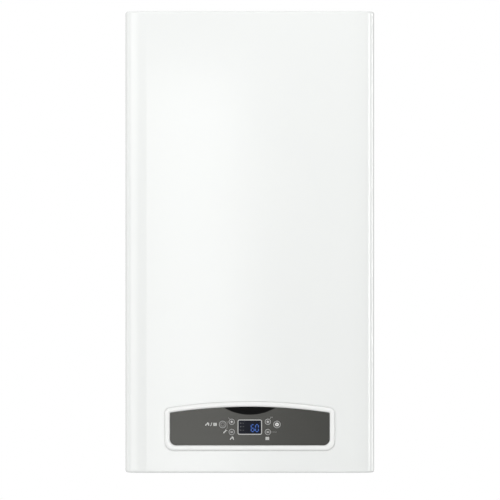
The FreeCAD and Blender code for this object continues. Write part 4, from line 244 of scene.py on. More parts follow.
def cast(tree, dark, light, metal, gloss, grain=260, strength=0.35):
    """A sand or die casting with a grainy skin."""
    where = places(tree)
    skin = mottle(tree, where, grain, detail=4, rough=0.6)
    cloud = mottle(tree, where, scale=24, detail=4)
    return {
        "Base Color": between(tree, cloud * 0.6 + skin * 0.4, dark, light),
        "Metallic": metal,
        "Roughness": gloss + skin * 0.18,
        "Normal": relief(tree, skin, strength, CAST_RELIEF),
    }


def rubber(tree, dark, light, gloss=0.62):
    """Dull rubber or silicone with dust in patches."""
    where = places(tree)
    dust = step(tree, mottle(tree, where, scale=60, detail=5), low=0.45, high=0.75)
    fine = mottle(tree, where, scale=1600, detail=2)
    return {
        "Base Color": between(tree, dust, dark, light),
        "Roughness": gloss + dust * 0.2,
        "Normal": relief(tree, fine, strength=0.15, depth=GRAIN_RELIEF),
    }


def fibre_board(tree):
    """Pressed ceramic fibre: felted strands and faint scorch."""
    strands = mottle(tree, places(tree, stretch=(900, 900, 160)), detail=4)
    crossed = mottle(tree, places(tree, stretch=(160, 900, 900)), detail=4)
    scorch = step(tree, mottle(tree, places(tree), scale=14, detail=4), low=0.5, high=0.8)
    return {
        "Base Color": between(tree, scorch * 0.7, (0.80, 0.77, 0.70), (0.56, 0.49, 0.40)),
        "Roughness": 0.86 + strands * 0.1,
        "Normal": relief(tree, strands + crossed, strength=0.4, depth=CAST_RELIEF),
    }


def clear_pane(tree):
    """Sight glass with a little heat haze."""
    haze = mottle(tree, places(tree), scale=160, detail=4)
    return {
        "Base Color": between(tree, haze, (0.93, 0.97, 0.95), (0.84, 0.90, 0.88)),
        "Roughness": 0.03 + haze * 0.07,
        "Transmission Weight": 1.0,
        "IOR": GLOSS_IOR,
    }


def dark_lens(tree):
    """Smoked display window: near black with a blue cast, polished, a trace of dust."""
    where = places(tree)
    dust = step(tree, mottle(tree, where, scale=700), low=0.55, high=0.8)
    cast_blue = mottle(tree, where, scale=45, detail=2)
    return {
        "Base Color": between(tree, cast_blue, (0.004, 0.005, 0.009), (0.008, 0.010, 0.020)),
        "Roughness": 0.06 + dust * 0.12,
        "Specular IOR Level": 0.09,
    }


def dark_film(tree):
    """A black printed film, nearly matt."""
    fine = mottle(tree, places(tree), scale=1500, detail=2)
    return {
        "Base Color": between(tree, fine, grey(0.0025), grey(0.0045)),
        "Roughness": 0.3 + fine * 0.1,
        "Normal": relief(tree, fine, strength=0.05, depth=FILM_RELIEF),
        "Specular IOR Level": 0.05,
    }


def satin_overlay(tree):
    """A polished grey overlay film with a faint print screen."""
    where = places(tree)
    cloud = mottle(tree, where, scale=18)
    fine = mottle(tree, where, scale=1800, detail=2)
    return {
        "Base Color": between(tree, cloud, (0.025, 0.0255, 0.0225), (0.029, 0.0285, 0.0252)),
        "Roughness": 0.13 + cloud * 0.03 + fine * 0.02,
        "Normal": relief(tree, fine, strength=0.03, depth=FILM_RELIEF),
        "Specular Tint": (1, 1, 0.95),
        "IOR": GLOSS_IOR,
    }


def circuit_board(tree):
    """Green solder resist over a maze of copper tracks."""
    where = places(tree)
    tracks = tree.node("TexBrick", {
        "Vector": where, "Scale": 160.0, "Mortar Size": 0.06,
        "Color1": grey(0), "Color2": grey(0), "Mortar": grey(1)}, {"offset": 0.5}, out="Fac")
    cloud = mottle(tree, where, scale=30)
    bare = between(tree, cloud, (0.015, 0.13, 0.045), (0.02, 0.17, 0.06))
    return {
        "Base Color": between(tree, tracks, bare, (0.05, 0.26, 0.10)),
        "Roughness": 0.3 + cloud * 0.12,
        "Normal": relief(tree, tracks, strength=0.2, depth=FILM_RELIEF),
    }


def ink(tree, colour, shaded):
    """Screen-printed ink: thin, a little uneven."""
    screen = mottle(tree, places(tree), scale=2600, detail=2)
    return {
        "Base Color": between(tree, screen, shaded, colour),
        "Roughness": 0.42 + screen * 0.12,
        "Normal": relief(tree, screen, strength=0.1, depth=INK_RELIEF),
    }


def glowing(tree, colour, shaded, power):
    """Lit segments of an uneven brightness."""
    cell = mottle(tree, places(tree), scale=900, detail=2)
    shade = between(tree, cell, shaded, colour)
    return {
        "Base Color": shade,
        "Roughness": 0.35 + cell * 0.1,
        "Emission Color": shade,
        "Emission Strength": power,
    }


# The recipe of each material slot's finish, and its values
FINISH_TABLE = {
    "white_enamel": (enamel, (0.875, 0.885, 0.875), (0.862, 0.873, 0.866), 0.09),
    "white_gloss": (enamel, (0.91, 0.912, 0.905), (0.90, 0.903, 0.896), 0.12),
    "fascia_grey": (satin_overlay,),
    "badge_black": (dark_film,),
    "display_glass": (dark_lens,),
    "button_grey": (moulded, (0.066, 0.064, 0.060), (0.056, 0.055, 0.052), 0.42, 1800),
    "zinc_sheet": (galvanised,),
    "steel_sheet": (drawn_steel, grey(0.40), (0.63, 0.63, 0.62), (14, 700, 700), 0.26),
    "screw_steel": (drawn_steel, (0.48, 0.48, 0.46), (0.74, 0.73, 0.68), (500, 500, 500), 0.22),
    "seal_rubber": (rubber, grey(0.018), (0.05, 0.05, 0.048)),
    "silicone": (rubber, (0.62, 0.60, 0.55), (0.72, 0.70, 0.65), 0.4),
    "clear_glass": (clear_pane,),
    "ceramic_fibre": (fibre_board,),
    "ceramic": (moulded, (0.86, 0.85, 0.81), (0.76, 0.74, 0.69), 0.32, 500, 0.1),
    "copper": (tarnished, (0.86, 0.47, 0.33), (0.55, 0.24, 0.14), 0.2),
    "brass": (tarnished, (0.82, 0.62, 0.30), (0.56, 0.40, 0.18), 0.24),
    "cast_aluminium": (cast, (0.52, 0.52, 0.53), (0.74, 0.74, 0.75), 1.0, 0.36),
    "cast_iron": (cast, (0.035, 0.037, 0.042), (0.075, 0.078, 0.085), 0.0, 0.44, 240, 0.5),
    "motor_black": (cast, (0.014, 0.014, 0.015), (0.032, 0.032, 0.034), 0.0, 0.38, 500, 0.2),
    "vessel_red": (enamel, (0.52, 0.022, 0.016), (0.43, 0.016, 0.012), 0.26),
    "group_plastic": (moulded, (0.062, 0.062, 0.066), (0.040, 0.040, 0.043), 0.46, 380, 0.3),
    "black_plastic": (moulded, (0.030, 0.030, 0.031), (0.018, 0.018, 0.019), 0.40),
    "housing_grey": (moulded, (0.40, 0.41, 0.42), (0.35, 0.36, 0.37), 0.44),
    "spindle_steel": (drawn_steel, grey(0.55), grey(0.78), (800, 800, 40), 0.14),
    "knob_red": (moulded, (0.60, 0.030, 0.020), (0.48, 0.020, 0.014), 0.34),
    "needle_red": (moulded, (0.72, 0.05, 0.03), (0.62, 0.035, 0.022), 0.36),
    "board_green": (circuit_board,),
}
FINISHES = {slot: build(slot, *values) for slot, values in FINISH_TABLE.items()}
WHITE_INK = build("white_ink", ink, (0.86, 0.86, 0.84), (0.74, 0.74, 0.72))
RING_INK = build("ring_ink", ink, (0.58, 0.58, 0.57), (0.49, 0.49, 0.48))
GREY_INK = build("grey_ink", ink, (0.42, 0.42, 0.41), (0.35, 0.35, 0.34))
FAINT_INK = build("faint_ink", ink, (0.10, 0.105, 0.11), (0.08, 0.083, 0.088))
DARK_INK = build("dark_ink", ink, (0.012, 0.012, 0.013), (0.02, 0.02, 0.021))
GREEN_INK = build("green_ink", ink, (0.02, 0.33, 0.06), (0.016, 0.27, 0.05))
RED_INK = build("red_ink", ink, (0.60, 0.02, 0.015), (0.50, 0.016, 0.012))
BLUE_GLOW = build("blue_glow", glowing, (0.035, 0.115, 0.42), (0.022, 0.080, 0.33), 0.28)


def dress_nodes():
    """Give every solid the finish of its slot."""
    for part in frame["record"]["subparts"]:
        finish = FINISHES[part["material_slot"]]
        thing = frame["nodes"][part["node"]]
        if not thing.material_slots:
            thing.data.materials.append(finish)
        for slot in thing.material_slots:
            slot.material = finish


# New pieces

# Points closer than this, in metres, are merged, and faces that meet at less than these degrees look smooth
MERGE = 0.000001
SMOOTH = 40
RIM_STEPS = 2
CHAMFER_SHARE = 1 / 16
DISC_RIM_SHARE = 0.6
RING_RIM_SHARE = 0.3


def mesh_data(name, mesh):
    data = bpy.data.meshes.new(name)
    mesh.to_mesh(data)
    mesh.free()
    return data


def new_object(name, data):
    thing = bpy.data.objects.new(name, data)
    bpy.context.scene.collection.objects.link(thing)
    return thing


def keep(name, mesh, body, slot, finish=None, smooth=SMOOTH):
    """Turn a finished bmesh into a piece that rides on a body, in its slot's finish or one given."""
    bmesh.ops.remove_doubles(mesh, verts=mesh.verts, dist=MERGE)
    bmesh.ops.recalc_face_normals(mesh, faces=mesh.faces)
    data = mesh_data(name, mesh)
    data.polygons.foreach_set("use_smooth", [True] * len(data.polygons))
    data.set_sharp_from_angle(angle=math.radians(smooth))
    data.materials.append(finish or FINISHES[slot])
    thing = new_object(name, data)
    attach(thing, body)


def plain_block(mesh, place, wide, deep, high):
    size = Matrix.Diagonal((wide / METRE, deep / METRE, high / METRE, 1))
    bmesh.ops.create_cube(mesh, size=1, matrix=place @ size)


def bar(mesh, start, end, width, out, thick):
    """A flat stroke, half sunk into a face, between two points (across, height)."""
    (x0, z0), (x1, z1) = start, end
    turn = Matrix.Rotation(-math.atan2(z1 - z0, x1 - x0), 4, "Y")
    place = Matrix.Translation(at((x0 + x1) / 2, (z0 + z1) / 2, out))
    plain_block(mesh, place @ turn, math.hypot(x1 - x0, z1 - z0), 2 * thick, width)


def draw(mesh, sign, centre, out, thick=INK, size=1):
    """Draw a sign about a point. A sign is a list of strokes: each a run of points, and a width."""
    across, height = centre
    for points, width in sign:
        spots = [(across + x * size, height + z * size) for x, z in points]
        for start, end in zip(spots, spots[1:]):
            bar(mesh, start, end, width * size, out, thick)


FACINGS = {
    "up": Matrix.Identity(4), "down": Matrix.Rotation(math.pi, 4, "X"),
    "front": Matrix.Rotation(math.pi / 2, 4, "X"), "back": Matrix.Rotation(-math.pi / 2, 4, "X"),
}


def seat(across, height, out, way="front"):
    """A place whose own upright points one way."""
    return Matrix.Translation(at(across, height, out)) @ FACINGS[way]


def pour(lump, mesh, place):
    """Add a shape made about the origin to a mesh, at its place."""
    bmesh.ops.transform(lump, matrix=place, verts=lump.verts)
    carrier = mesh_data("carrier", lump)
    mesh.from_mesh(carrier)
    bpy.data.meshes.remove(carrier)


def bevel(mesh, parts, offset, segments, affect="EDGES"):
    bmesh.ops.bevel(mesh, geom=parts, offset=offset / METRE, segments=segments, profile=0.5, affect=affect,
                    material=-1)


def turned(mesh, place, profile, steps=32):
    """A round shape about the place's upright, from its points (reach, lift)."""
    lump = bmesh.new()
    points = [lump.verts.new((reach / METRE, 0, lift / METRE)) for reach, lift in profile]
    edges = [lump.edges.new(pair) for pair in zip(points, points[1:])]
    bmesh.ops.spin(lump, geom=points + edges, cent=(0, 0, 0), axis=(0, 0, 1), angle=2 * math.pi, steps=steps,
                   use_merge=True)
    pour(lump, mesh, place)


def block(mesh, place, size, corner=0, edge=0, steps=3):
    """A block that stands on its place, with its upright edges and the rim of its face rounded."""
    lump = bmesh.new()
    half = size[2] / 2 / METRE
    plain_block(lump, Matrix.Translation((0, 0, half)), *size)
    if corner:
        upright = [side for side in lump.edges if abs(side.verts[0].co.z - side.verts[1].co.z) > half]
        bevel(lump, upright, corner, steps)
    if edge:
        rim = [side for side in lump.edges if min(point.co.z for point in side.verts) > half]
        bevel(lump, rim, edge, RIM_STEPS)
    pour(lump, mesh, place)


def hexagon(mesh, place, radius, high):
    """A nut with its rims chamfered and two of its corners to the left and right."""
    lump = bmesh.new()
    bmesh.ops.create_cone(lump, cap_ends=True, segments=6, radius1=radius / METRE, radius2=radius / METRE,
                          depth=high / METRE, matrix=Matrix.Translation((0, 0, high / 2 / METRE))
                          @ Matrix.Rotation(math.pi / 2, 4, "Z"))
    level = [side for side in lump.edges if side.verts[0].co.z == side.verts[1].co.z]
    bevel(lump, level, radius * CHAMFER_SHARE, RIM_STEPS)
    pour(lump, mesh, place)


# A socket-headed screw, in shares of its radius
SCREW_SHARES = [(0, 0.4), (0.42, 0.35), (0.48, 0.85), (0.8, 0.9), (1, 0.6), (1, -0.1), (0, -0.1)]
SCREW, PUMP_SCREW, SMALL_SCREW = 3.4, 3, 2.8


def screw(mesh, place, radius=SCREW):
    turned(mesh, place, [(reach * radius, lift * radius) for reach, lift in SCREW_SHARES], steps=20)


def disc(mesh, centre, radius, out, thick=INK, steps=40):
    """A round printed spot with a soft rim."""
    soft = DISC_RIM_SHARE * thick
    turned(mesh, seat(*centre, out), [(0, -thick), (radius, -thick), (radius, thick - soft),
                                      (radius - soft, thick), (0, thick)], steps)


def ring(mesh, centre, inner, outer, back, front):
    """A ring that faces the front, with its front edges rounded."""
    high = front - back
    soft = RING_RIM_SHARE * min(high, outer - inner)
    turned(mesh, seat(*centre, back), [(inner, 0), (outer, 0), (outer, high - soft), (outer - soft, high),
                                       (inner + soft, high), (inner, high - soft), (inner, 0)], steps=64)


# Print on the panel

# A tap, a radiator and a spanner, in shares of their size
TAP_SHARES = [
    ([(-0.10, 0.14), (0.34, 0.14)], 0.20), ([(-0.08, 0.14), (-0.30, 0.02), (-0.40, -0.30)], 0.17),
    ([(0.12, 0.14), (0.12, 0.42)], 0.13), ([(-0.06, 0.42), (0.30, 0.42)], 0.12),
    ([(0.36, 0.30), (0.36, -0.30)], 0.16),
]
RADIATOR_SHARES = [([(rib, -0.36), (rib, 0.40)], 0.15) for rib in (-0.34, -0.12, 0.12, 0.34)]
RADIATOR_SHARES += [([(-0.42, rail), (0.42, rail)], 0.09) for rail in (-0.20, 0.26)]
SPANNER_SHARES = [
    ([(-0.42, -0.42), (0.22, 0.22)], 0.22), ([(0.08, 0.40), (0.14, 0.14), (0.40, 0.08)], 0.16),
]
SIGN_SIZE = 6.6
# Each sign, its button, and where it stands from that button's middle: across and up
SIGN_PLACES = (
    (TAP_SHARES, "mode_button", (-24.6, 0)), (RADIATOR_SHARES, "mode_button", (-12.2, 0)),
    (SPANNER_SHARES, "mode_button", (4.6, -10.5)), (TAP_SHARES, "water_down_button", (0.2, -10.4)),
    (RADIATOR_SHARES, "heat_down_button", (-0.8, -10.4)),
)
# The stroke between tap and radiator and the spanner's round end, from the mode button's middle
SLASH = [([(-19.2, -2.5), (-17.1, 3)], 0.7)]
SPANNER_END, SPANNER_END_RADIUS = (1.96, -13.14), 1.056
LEADER_WIDTH, TICK_WIDTH, TICK_PITCH = 0.45, 0.5, 1.4


def ticks(first, low, high, count):
    """A row of short upright strokes, as a sign."""
    spots = [first + number * TICK_PITCH for number in range(count)]
    return [([(across, low), (across, high)], TICK_WIDTH) for across in spots]


# Leader lines and their marks, from the middles of the buttons
LEADERS = {
    "mode_button": [([(7.3, 5), (7.3, -5.4), (6.2, -7.4)], LEADER_WIDTH)],
    "water_up_button": [([(-3.5, 4), (-5.2, 6.6)], LEADER_WIDTH)],
    "heat_up_button": [([(3.1, 4.3), (4.5, 6.2)], LEADER_WIDTH)] + ticks(4.4, 6.8, 8.2, 3),
    "heat_down_button": [([(5.2, 0), (7.8, 0)], LEADER_WIDTH)] + ticks(9.2, -0.6, 0.6, 4),
}


def make_panel_signs():
    """Signs and leader lines, placed from the buttons that they belong to."""
    mesh = bmesh.new()
    for sign, button, shift in SIGN_PLACES:
        draw(mesh, sign, point_on(button, shift), PANEL, size=SIGN_SIZE)
    draw(mesh, SLASH, point_on("mode_button"), PANEL)
    disc(mesh, point_on("mode_button", SPANNER_END), SPANNER_END_RADIUS, PANEL)
    keep("panel_signs", mesh, "control", "white_gloss", WHITE_INK)
    mesh = bmesh.new()
    for button, leader in LEADERS.items():
        draw(mesh, leader, point_on(button), PANEL)
    keep("panel_leaders", mesh, "control", "white_gloss", GREY_INK)


SKIRT_LAP, SKIRT_HEIGHT, SKIRT_LIFT = 2.4, 1.2, 1.4


def make_bezel_skirt():
    """A thin skirt round the bezel's foot, behind the cover, that closes the gap from view."""
    bezel = box_of("bezel")
    foot = bezel.back + SKIRT_HEIGHT
    mesh = bmesh.new()
    mesh.from_mesh(frame["nodes"]["bezel"].data)
    bmesh.ops.remove_doubles(mesh, verts=mesh.verts, dist=MERGE)
    everything = mesh.verts[:] + mesh.edges[:] + mesh.faces[:]
    bmesh.ops.bisect_plane(mesh, geom=everything, plane_co=at(0, 0, foot), plane_no=(0, -1, 0),
                           clear_outer=True)
    bmesh.ops.bridge_loops(mesh, edges=[edge for edge in mesh.edges if edge.is_boundary])
    middle = at(*point_on("bezel"), foot)
    half_width, half_height = (bezel.right - bezel.left) / 2, (bezel.top - bezel.base) / 2
    grow = Matrix.Diagonal((1 + SKIRT_LAP / half_width, 1, 1 + SKIRT_LAP / half_height, 1))
    about_middle = Matrix.Translation(middle) @ grow @ Matrix.Translation(-middle)
    bmesh.ops.transform(mesh, verts=mesh.verts, matrix=about_middle)
    bmesh.ops.translate(mesh, verts=mesh.verts, vec=(0, -SKIRT_LIFT / METRE, 0))
    keep("bezel_skirt", mesh, "control", "white_gloss")


# The strokes of a digit, from its lower left corner, with gaps where they meet
DIGIT_STROKE = 1.5
TOP, MIDDLE, FOOT = [([(0.9, lift), (3.8, lift)], DIGIT_STROKE) for lift in (11, 5.5, 0)]
UPPER_LEFT, UPPER_RIGHT = [([(side, 10.1), (side, 6.4)], DIGIT_STROKE) for side in (0, 4.7)]
LOWER_LEFT, LOWER_RIGHT = [([(side, 4.6), (side, 0.9)], DIGIT_STROKE) for side in (0, 4.7)]
SIX = [TOP, MIDDLE, FOOT, UPPER_LEFT, LOWER_LEFT, LOWER_RIGHT]
NOUGHT = [TOP, FOOT, UPPER_LEFT, LOWER_LEFT, UPPER_RIGHT, LOWER_RIGHT]
# The digits with their corners, and the unlit signs, from the lens's middle
DIGITS = ((SIX, (2.2, -7.1)), (NOUGHT, (9.1, -7.1)))
ICON_ROWS = (6.3, 0.7, -4.9)
ICONS = [([(-13, 0.7), (-13, -0.7)], 0.5), ([(-11.4, 0), (-9.4, 0)], 0.8)]
ICON_DOT_ACROSS, ICON_DOT_RADIUS = -15, 0.85
CORNER_ICON = [([(15.6, 7.5), (17, 7.5)], 0.6)]
FRAME_LIFT, FRAME_CORNER, FRAME_RIM, FRAME_SHEET = 0.22, 3, 1.3, 0.4


def make_display():
    """Lit digits, unlit signs and a frame, placed from the middle of the lens."""
    lens = box_of("display_lens")
    mesh = bmesh.new()
    for sign, corner in DIGITS:
        draw(mesh, sign, point_on("display_lens", corner), LENS, FINE_INK)
    keep("display_digits", mesh, "control", "display_glass", BLUE_GLOW)
    mesh = bmesh.new()
    for lift in ICON_ROWS:
        dot = point_on("display_lens", (ICON_DOT_ACROSS, lift))
        disc(mesh, dot, ICON_DOT_RADIUS, LENS, FINE_INK, steps=20)
        draw(mesh, ICONS, point_on("display_lens", (0, lift)), LENS, FINE_INK)
    draw(mesh, CORNER_ICON, point_on("display_lens"), LENS, FINE_INK)
    keep("display_icons", mesh, "control", "display_glass", FAINT_INK)
    mesh = bmesh.new()
    place = seat(*point_on("display_lens"), LENS + FRAME_LIFT)
    size = Matrix.Diagonal(((lens.right - lens.left) / METRE, (lens.top - lens.base) / METRE, 1, 1))
    sheet = bmesh.ops.create_grid(mesh, x_segments=1, y_segments=1, size=0.5, matrix=place @ size)
    bevel(mesh, sheet["verts"], FRAME_CORNER, segments=8, affect="VERTICES")
    inner = bmesh.ops.inset_region(mesh, faces=mesh.faces[:], thickness=FRAME_RIM / METRE, use_boundary=True,
                                   use_even_offset=True)
    rim = set(inner["faces"])
    bmesh.ops.delete(mesh, geom=[face for face in mesh.faces if face not in rim], context="FACES")
    bmesh.ops.solidify(mesh, geom=mesh.faces[:], thickness=FRAME_SHEET / METRE)
    keep("display_frame", mesh, "control", "housing_grey", RING_INK)


# The signs on the buttons: minus, plus, a ring and a disc with a drop
MINUS = [([(-1.9, 0), (1.9, 0)], 1.15)]
PLUS = MINUS + [([(0, -1.9), (0, 1.9)], 1.15)]
BUTTON_SIGNS = {
    "water_up_button": PLUS, "water_down_button": MINUS, "heat_up_button": PLUS, "heat_down_button": MINUS,
    "mode_button": [], "power_button": [],
}
BUTTON_FLANGE = 1.5
RIM_INSIDE, RIM_OUTSIDE, RIM_DEPTH, RIM_LIFT = 0.8, 0.06, 0.8, 0.14
MODE_INNER, MODE_OUTER, MODE_SINK = 2.45, 3.05, 0.05
POWER_RADIUS = 2.85
DROP_RADIUS, DROP_SHIFT = 0.9, (0, -0.4)
DROP_TIP = [([(-0.5, 0), (0, 1.3), (0.5, 0)], 0.6)]
DROP_TIP_LIFT = 0.06


def make_button_marks():
    """A rim and a sign on each button, riding on it."""
    for name, sign in BUTTON_SIGNS.items():
        centre = point_on(name)
        box = box_of(name)
        radius = (box.right - box.left) / 2 - BUTTON_FLANGE
        mesh = bmesh.new()
        ring(mesh, centre, radius - RIM_INSIDE, radius + RIM_OUTSIDE, CAP - RIM_DEPTH, CAP + RIM_LIFT)
        keep(f"{name}_ring", mesh, name, "housing_grey", RING_INK)
        mesh = bmesh.new()
        finish = WHITE_INK
        draw(mesh, sign, centre, CAP, CAP_INK)
        if name == "power_button":
            disc(mesh, centre, POWER_RADIUS, CAP, CAP_INK, steps=48)
        if name == "mode_button":
            ring(mesh, centre, MODE_INNER, MODE_OUTER, CAP - MODE_SINK, CAP + CAP_INK)
            finish = GREY_INK
        keep(f"{name}_sign", mesh, name, "white_gloss", finish)
    mesh = bmesh.new()
    disc(mesh, point_on("power_button", DROP_SHIFT), DROP_RADIUS, CAP + CAP_INK, FINE_INK, steps=32)
    draw(mesh, DROP_TIP, point_on("power_button"), CAP + DROP_TIP_LIFT)
    keep("power_button_drop", mesh, "power_button", "black_plastic", DARK_INK)


# The middle of the gauge's dial on the underside, a little above its needle's joint. Its scale is in bar.
NEEDLE = joint_place("gauge_turn")
NEEDLE_GAP = 1
DIAL = (NEEDLE[0], NEEDLE[1] + NEEDLE_GAP, NEEDLE[2])
DIAL_SWEEP = math.radians(270)
DIAL_TOP = 4
DIAL_PROFILE = [(0, 0.1), (13.6, 0.1), (13.9, 0.5), (14.3, 0.5), (14.3, -0.1), (0, -0.1)]
# Long and short marks: width, length and reach
MARKS_PER_BAR, MARK_THICK = 4, 0.3
LONG_MARK, SHORT_MARK = (0.45, 2.2, 12.2), (0.28, 1.3, 12.6)
NUMERAL_REACH, NUMERAL_SIZE, NUMERAL_LIFT = 8.6, 4.2, 0.12
# Coloured stretches of the scale: where each starts and ends, and its millimetres aside from there
ARCS = {"gauge_green": (1.0, 1.6, -0.025, GREEN_INK), "gauge_red": (3.0, 4.0, 0.025, RED_INK)}
ARC_REACHES, ARC_LIFT = (12.7, 13.7), 0.13


def on_dial(pressure, reach):
    """A place on the dial, seen from below, with its own up pointing outwards."""
    turn = pressure * DIAL_SWEEP / DIAL_TOP
    across, height, out = DIAL
    place = seat(across + reach * math.sin(turn), height, out + reach * math.cos(turn), "down")
    return place @ Matrix.Rotation(-turn, 4, "Z")


def add_numeral(mesh, text, place):
    """A plain numeral as flat faces, a little proud of the dial."""
    curve = bpy.data.curves.new(f"numeral_{text}", "FONT")
    curve.body = text
    curve.size = NUMERAL_SIZE / METRE
    curve.align_x = "CENTER"
    curve.align_y = "CENTER"
    curve.extrude = NUMERAL_LIFT / METRE
    carrier = new_object(f"numeral_{text}", curve)
    shape = bpy.data.meshes.new_from_object(carrier.evaluated_get(bpy.context.evaluated_depsgraph_get()))
    shape.transform(place)
    mesh.from_mesh(shape)
    bpy.data.objects.remove(carrier)
    bpy.data.curves.remove(curve)
    bpy.data.meshes.remove(shape)


def make_gauge_dial():
    """The dial with its marks, numerals and coloured stretches."""
    mesh = bmesh.new()
    turned(mesh, seat(*DIAL, "down"), DIAL_PROFILE, steps=64)
    keep("gauge_dial", mesh, "case", "white_gloss", WHITE_INK)
    mesh = bmesh.new()
    for number in range(MARKS_PER_BAR * DIAL_TOP + 1):
        width, length, reach = SHORT_MARK if number % MARKS_PER_BAR else LONG_MARK
        plain_block(mesh, on_dial(number / MARKS_PER_BAR, reach), width, length, MARK_THICK)
    for number in range(DIAL_TOP + 1):
        middle = on_dial(number, NUMERAL_REACH).to_translation()
        add_numeral(mesh, str(number), Matrix.Translation(middle) @ FACINGS["down"])
    keep("gauge_scale", mesh, "case", "black_plastic", DARK_INK)
    for name, (first, last, aside, finish) in ARCS.items():
        mesh = bmesh.new()
        shift = Vector((aside / METRE, 0, ARC_LIFT / METRE))
        ends = [mesh.verts.new(on_dial(first, reach) @ shift) for reach in ARC_REACHES]
        edge = mesh.edges.new(ends)
        bmesh.ops.spin(mesh, geom=ends + [edge], cent=at(*DIAL), axis=(0, 0, 1), steps=20,
                       angle=(last - first) * DIAL_SWEEP / DIAL_TOP)
        keep(name, mesh, "case", "knob_red", finish)


# Details of the back and of the pieces inside

# Pieces sink this far into what carries them
SINK = 0.2
# The back sheet lies this far from the wall, inside its rim
BACK_SHEET = 14
# A pressed bead: its width, height and roundings, and where the beads lie
BEAD_WIDTH, BEAD_HEIGHT, BEAD_CORNER, BEAD_EDGE, BEAD_STEPS = 24, 3.4, 11.9, 2.4, 10
BEADS_ACROSS = (-118, 0, 118)
BEAD_FOOT_GAP, BEAD_HEAD_GAP = 110, 60
CROSS_BEAD_LENGTH, CROSS_BEAD_HEIGHT = 250, 62
WELD_PROFILE = [(0, 0.35), (1.6, 0.4), (2.4, 0.75), (3.2, 0.5), (3.6, 0), (0, -0.1)]
WELDS, WELD_FOOT_GAP, WELD_HEAD_GAP, WELD_SIDE_GAP = 11, 40, 40, 14


def make_back_pressings():
    """Stiffening beads and spot welds pressed into the back sheet."""
    back = box_of("back_frame")
    bracket = box_of("wall_bracket")
    foot, head = back.base + BEAD_FOOT_GAP, bracket.base - BEAD_HEAD_GAP
    face = BACK_SHEET + SINK
    beads = [(across, (foot + head) / 2, BEAD_WIDTH, head - foot) for across in BEADS_ACROSS]
    beads.append((0, back.base + CROSS_BEAD_HEIGHT, CROSS_BEAD_LENGTH, BEAD_WIDTH))
    mesh = bmesh.new()
    for across, height, wide, long in beads:
        block(mesh, seat(across, height, face, "back"), (wide, long, BEAD_HEIGHT), BEAD_CORNER, BEAD_EDGE,
              BEAD_STEPS)
    keep("back_beads", mesh, "case", "zinc_sheet")
    mesh = bmesh.new()
    low, high = back.base + WELD_FOOT_GAP, bracket.base - WELD_HEAD_GAP
    for count in range(WELDS):
        height = low + count * (high - low) / (WELDS - 1)
        for across in (back.left + WELD_SIDE_GAP, back.right - WELD_SIDE_GAP):
            turned(mesh, seat(across, height, face, "back"), WELD_PROFILE, steps=20)
    keep("back_spot_welds", mesh, "case", "zinc_sheet", FINISHES["steel_sheet"])


# The pipe unions: the mount that each one is, its bore and its nut's radius
UNIONS = {
    "heating_flow": (9.5, 17), "hot_water_out": (7.5, 14), "gas_in": (9.5, 17),
    "cold_water_in": (7.5, 14), "heating_return": (9.5, 17),
}
UNION_END, THREAD_TOP, NUT_BASE, NUT_HEIGHT, NUT_LAP = 4, 25, 27, 9, 0.4
THREAD_PITCH, THREAD_ROOT, THREAD_CREST, THREAD_SINK = 1.8, 0.1, 0.6, 0.4
# The thread's skin goes round the nipple's end and this deep into its bore
LINING, LINING_DEPTH, END_CHAMFER = 0.3, 8, 0.2
THREAD_SMOOTH = 30


def make_unions():
    """A brass thread on each nipple, drawn round its end into the bore, and a brass nut above the tray."""
    threads = bmesh.new()
    nuts = bmesh.new()
    for mount in frame["record"]["mounts"]:
        if mount["name"] not in UNIONS:
            continue
        bore, nut_radius = UNIONS[mount["name"]]
        radius = mount["dims"]["r_mm"]
        across, out = METRE * mount["pos_m"][0], -METRE * mount["pos_m"][1]
        ridges = []
        for count in range(int((THREAD_TOP - UNION_END) / THREAD_PITCH)):
            ridges.append((radius + THREAD_ROOT, count * THREAD_PITCH))
            ridges.append((radius + THREAD_CREST, (count + 0.5) * THREAD_PITCH))
        top = ridges[-1][1] + THREAD_PITCH / 2
        lip = [(bore - LINING, LINING_DEPTH), (bore - LINING, -LINING), (radius - END_CHAMFER, -LINING)]
        inside = [(radius + THREAD_ROOT, top), (radius - THREAD_SINK, top), (radius - THREAD_SINK, LINING),
                  (bore + LINING, LINING), (bore + LINING, LINING_DEPTH)]
        turned(threads, seat(across, UNION_END, out, "up"), lip + ridges + inside + lip[:1], steps=40)
        hexagon(nuts, seat(across, NUT_BASE - SINK, out, "up"), nut_radius + NUT_LAP, NUT_HEIGHT + 2 * SINK)
    keep("union_threads", threads, "case", "brass", smooth=THREAD_SMOOTH)
    keep("union_nuts", nuts, "case", "brass", smooth=THREAD_SMOOTH)


# Blocks are given by their size (wide, deep, high) and the roundings of their uprights and rim, and nuts
# by their radius and height
SHIELD_PROFILE = [(0, 2.6), (9, 2.6), (10, 1.6), (37, 1.4), (38.5, 3.4), (40.5, 3.2), (41.4, 1.6), (41.4, 0),
                  (0, -0.1)]
SHIELD_RIBS, SHIELD_RIB, SHIELD_RIB_REACH, SHIELD_RIB_LIFT = 16, ((27, 1.8, 1.8), 0, 0.5), 24, 1.2
VENT_PLUG_PROFILE = [(0, 4.2), (3.2, 4.2), (3.4, 6.2), (6.2, 6.4), (7.4, 5.4), (7.4, 2), (0, 1)]
FLANGE_SHEET, FLANGE_SCREW_REACH = 4, 44
# The terminal box on the motor: how far its middle, its front and its gland lie from the motor's back
TERMINAL_OUT, TERMINAL_FRONT, GLAND_OUT = 34, 56, 57.5
TERMINAL_COVER, TERMINAL_PLATE = ((56, 46, 5), 4, 1.6), ((50, 14, 2.2), 3, 0.8)
TERMINAL_SCREW_LIFT, GLAND_DROP = 4.6, 10
GLAND_PROFILE = [(0, 9), (3.4, 9), (3.6, 7), (5.6, 6.6), (6.4, 5.6), (6.4, 0), (0, -0.1)]


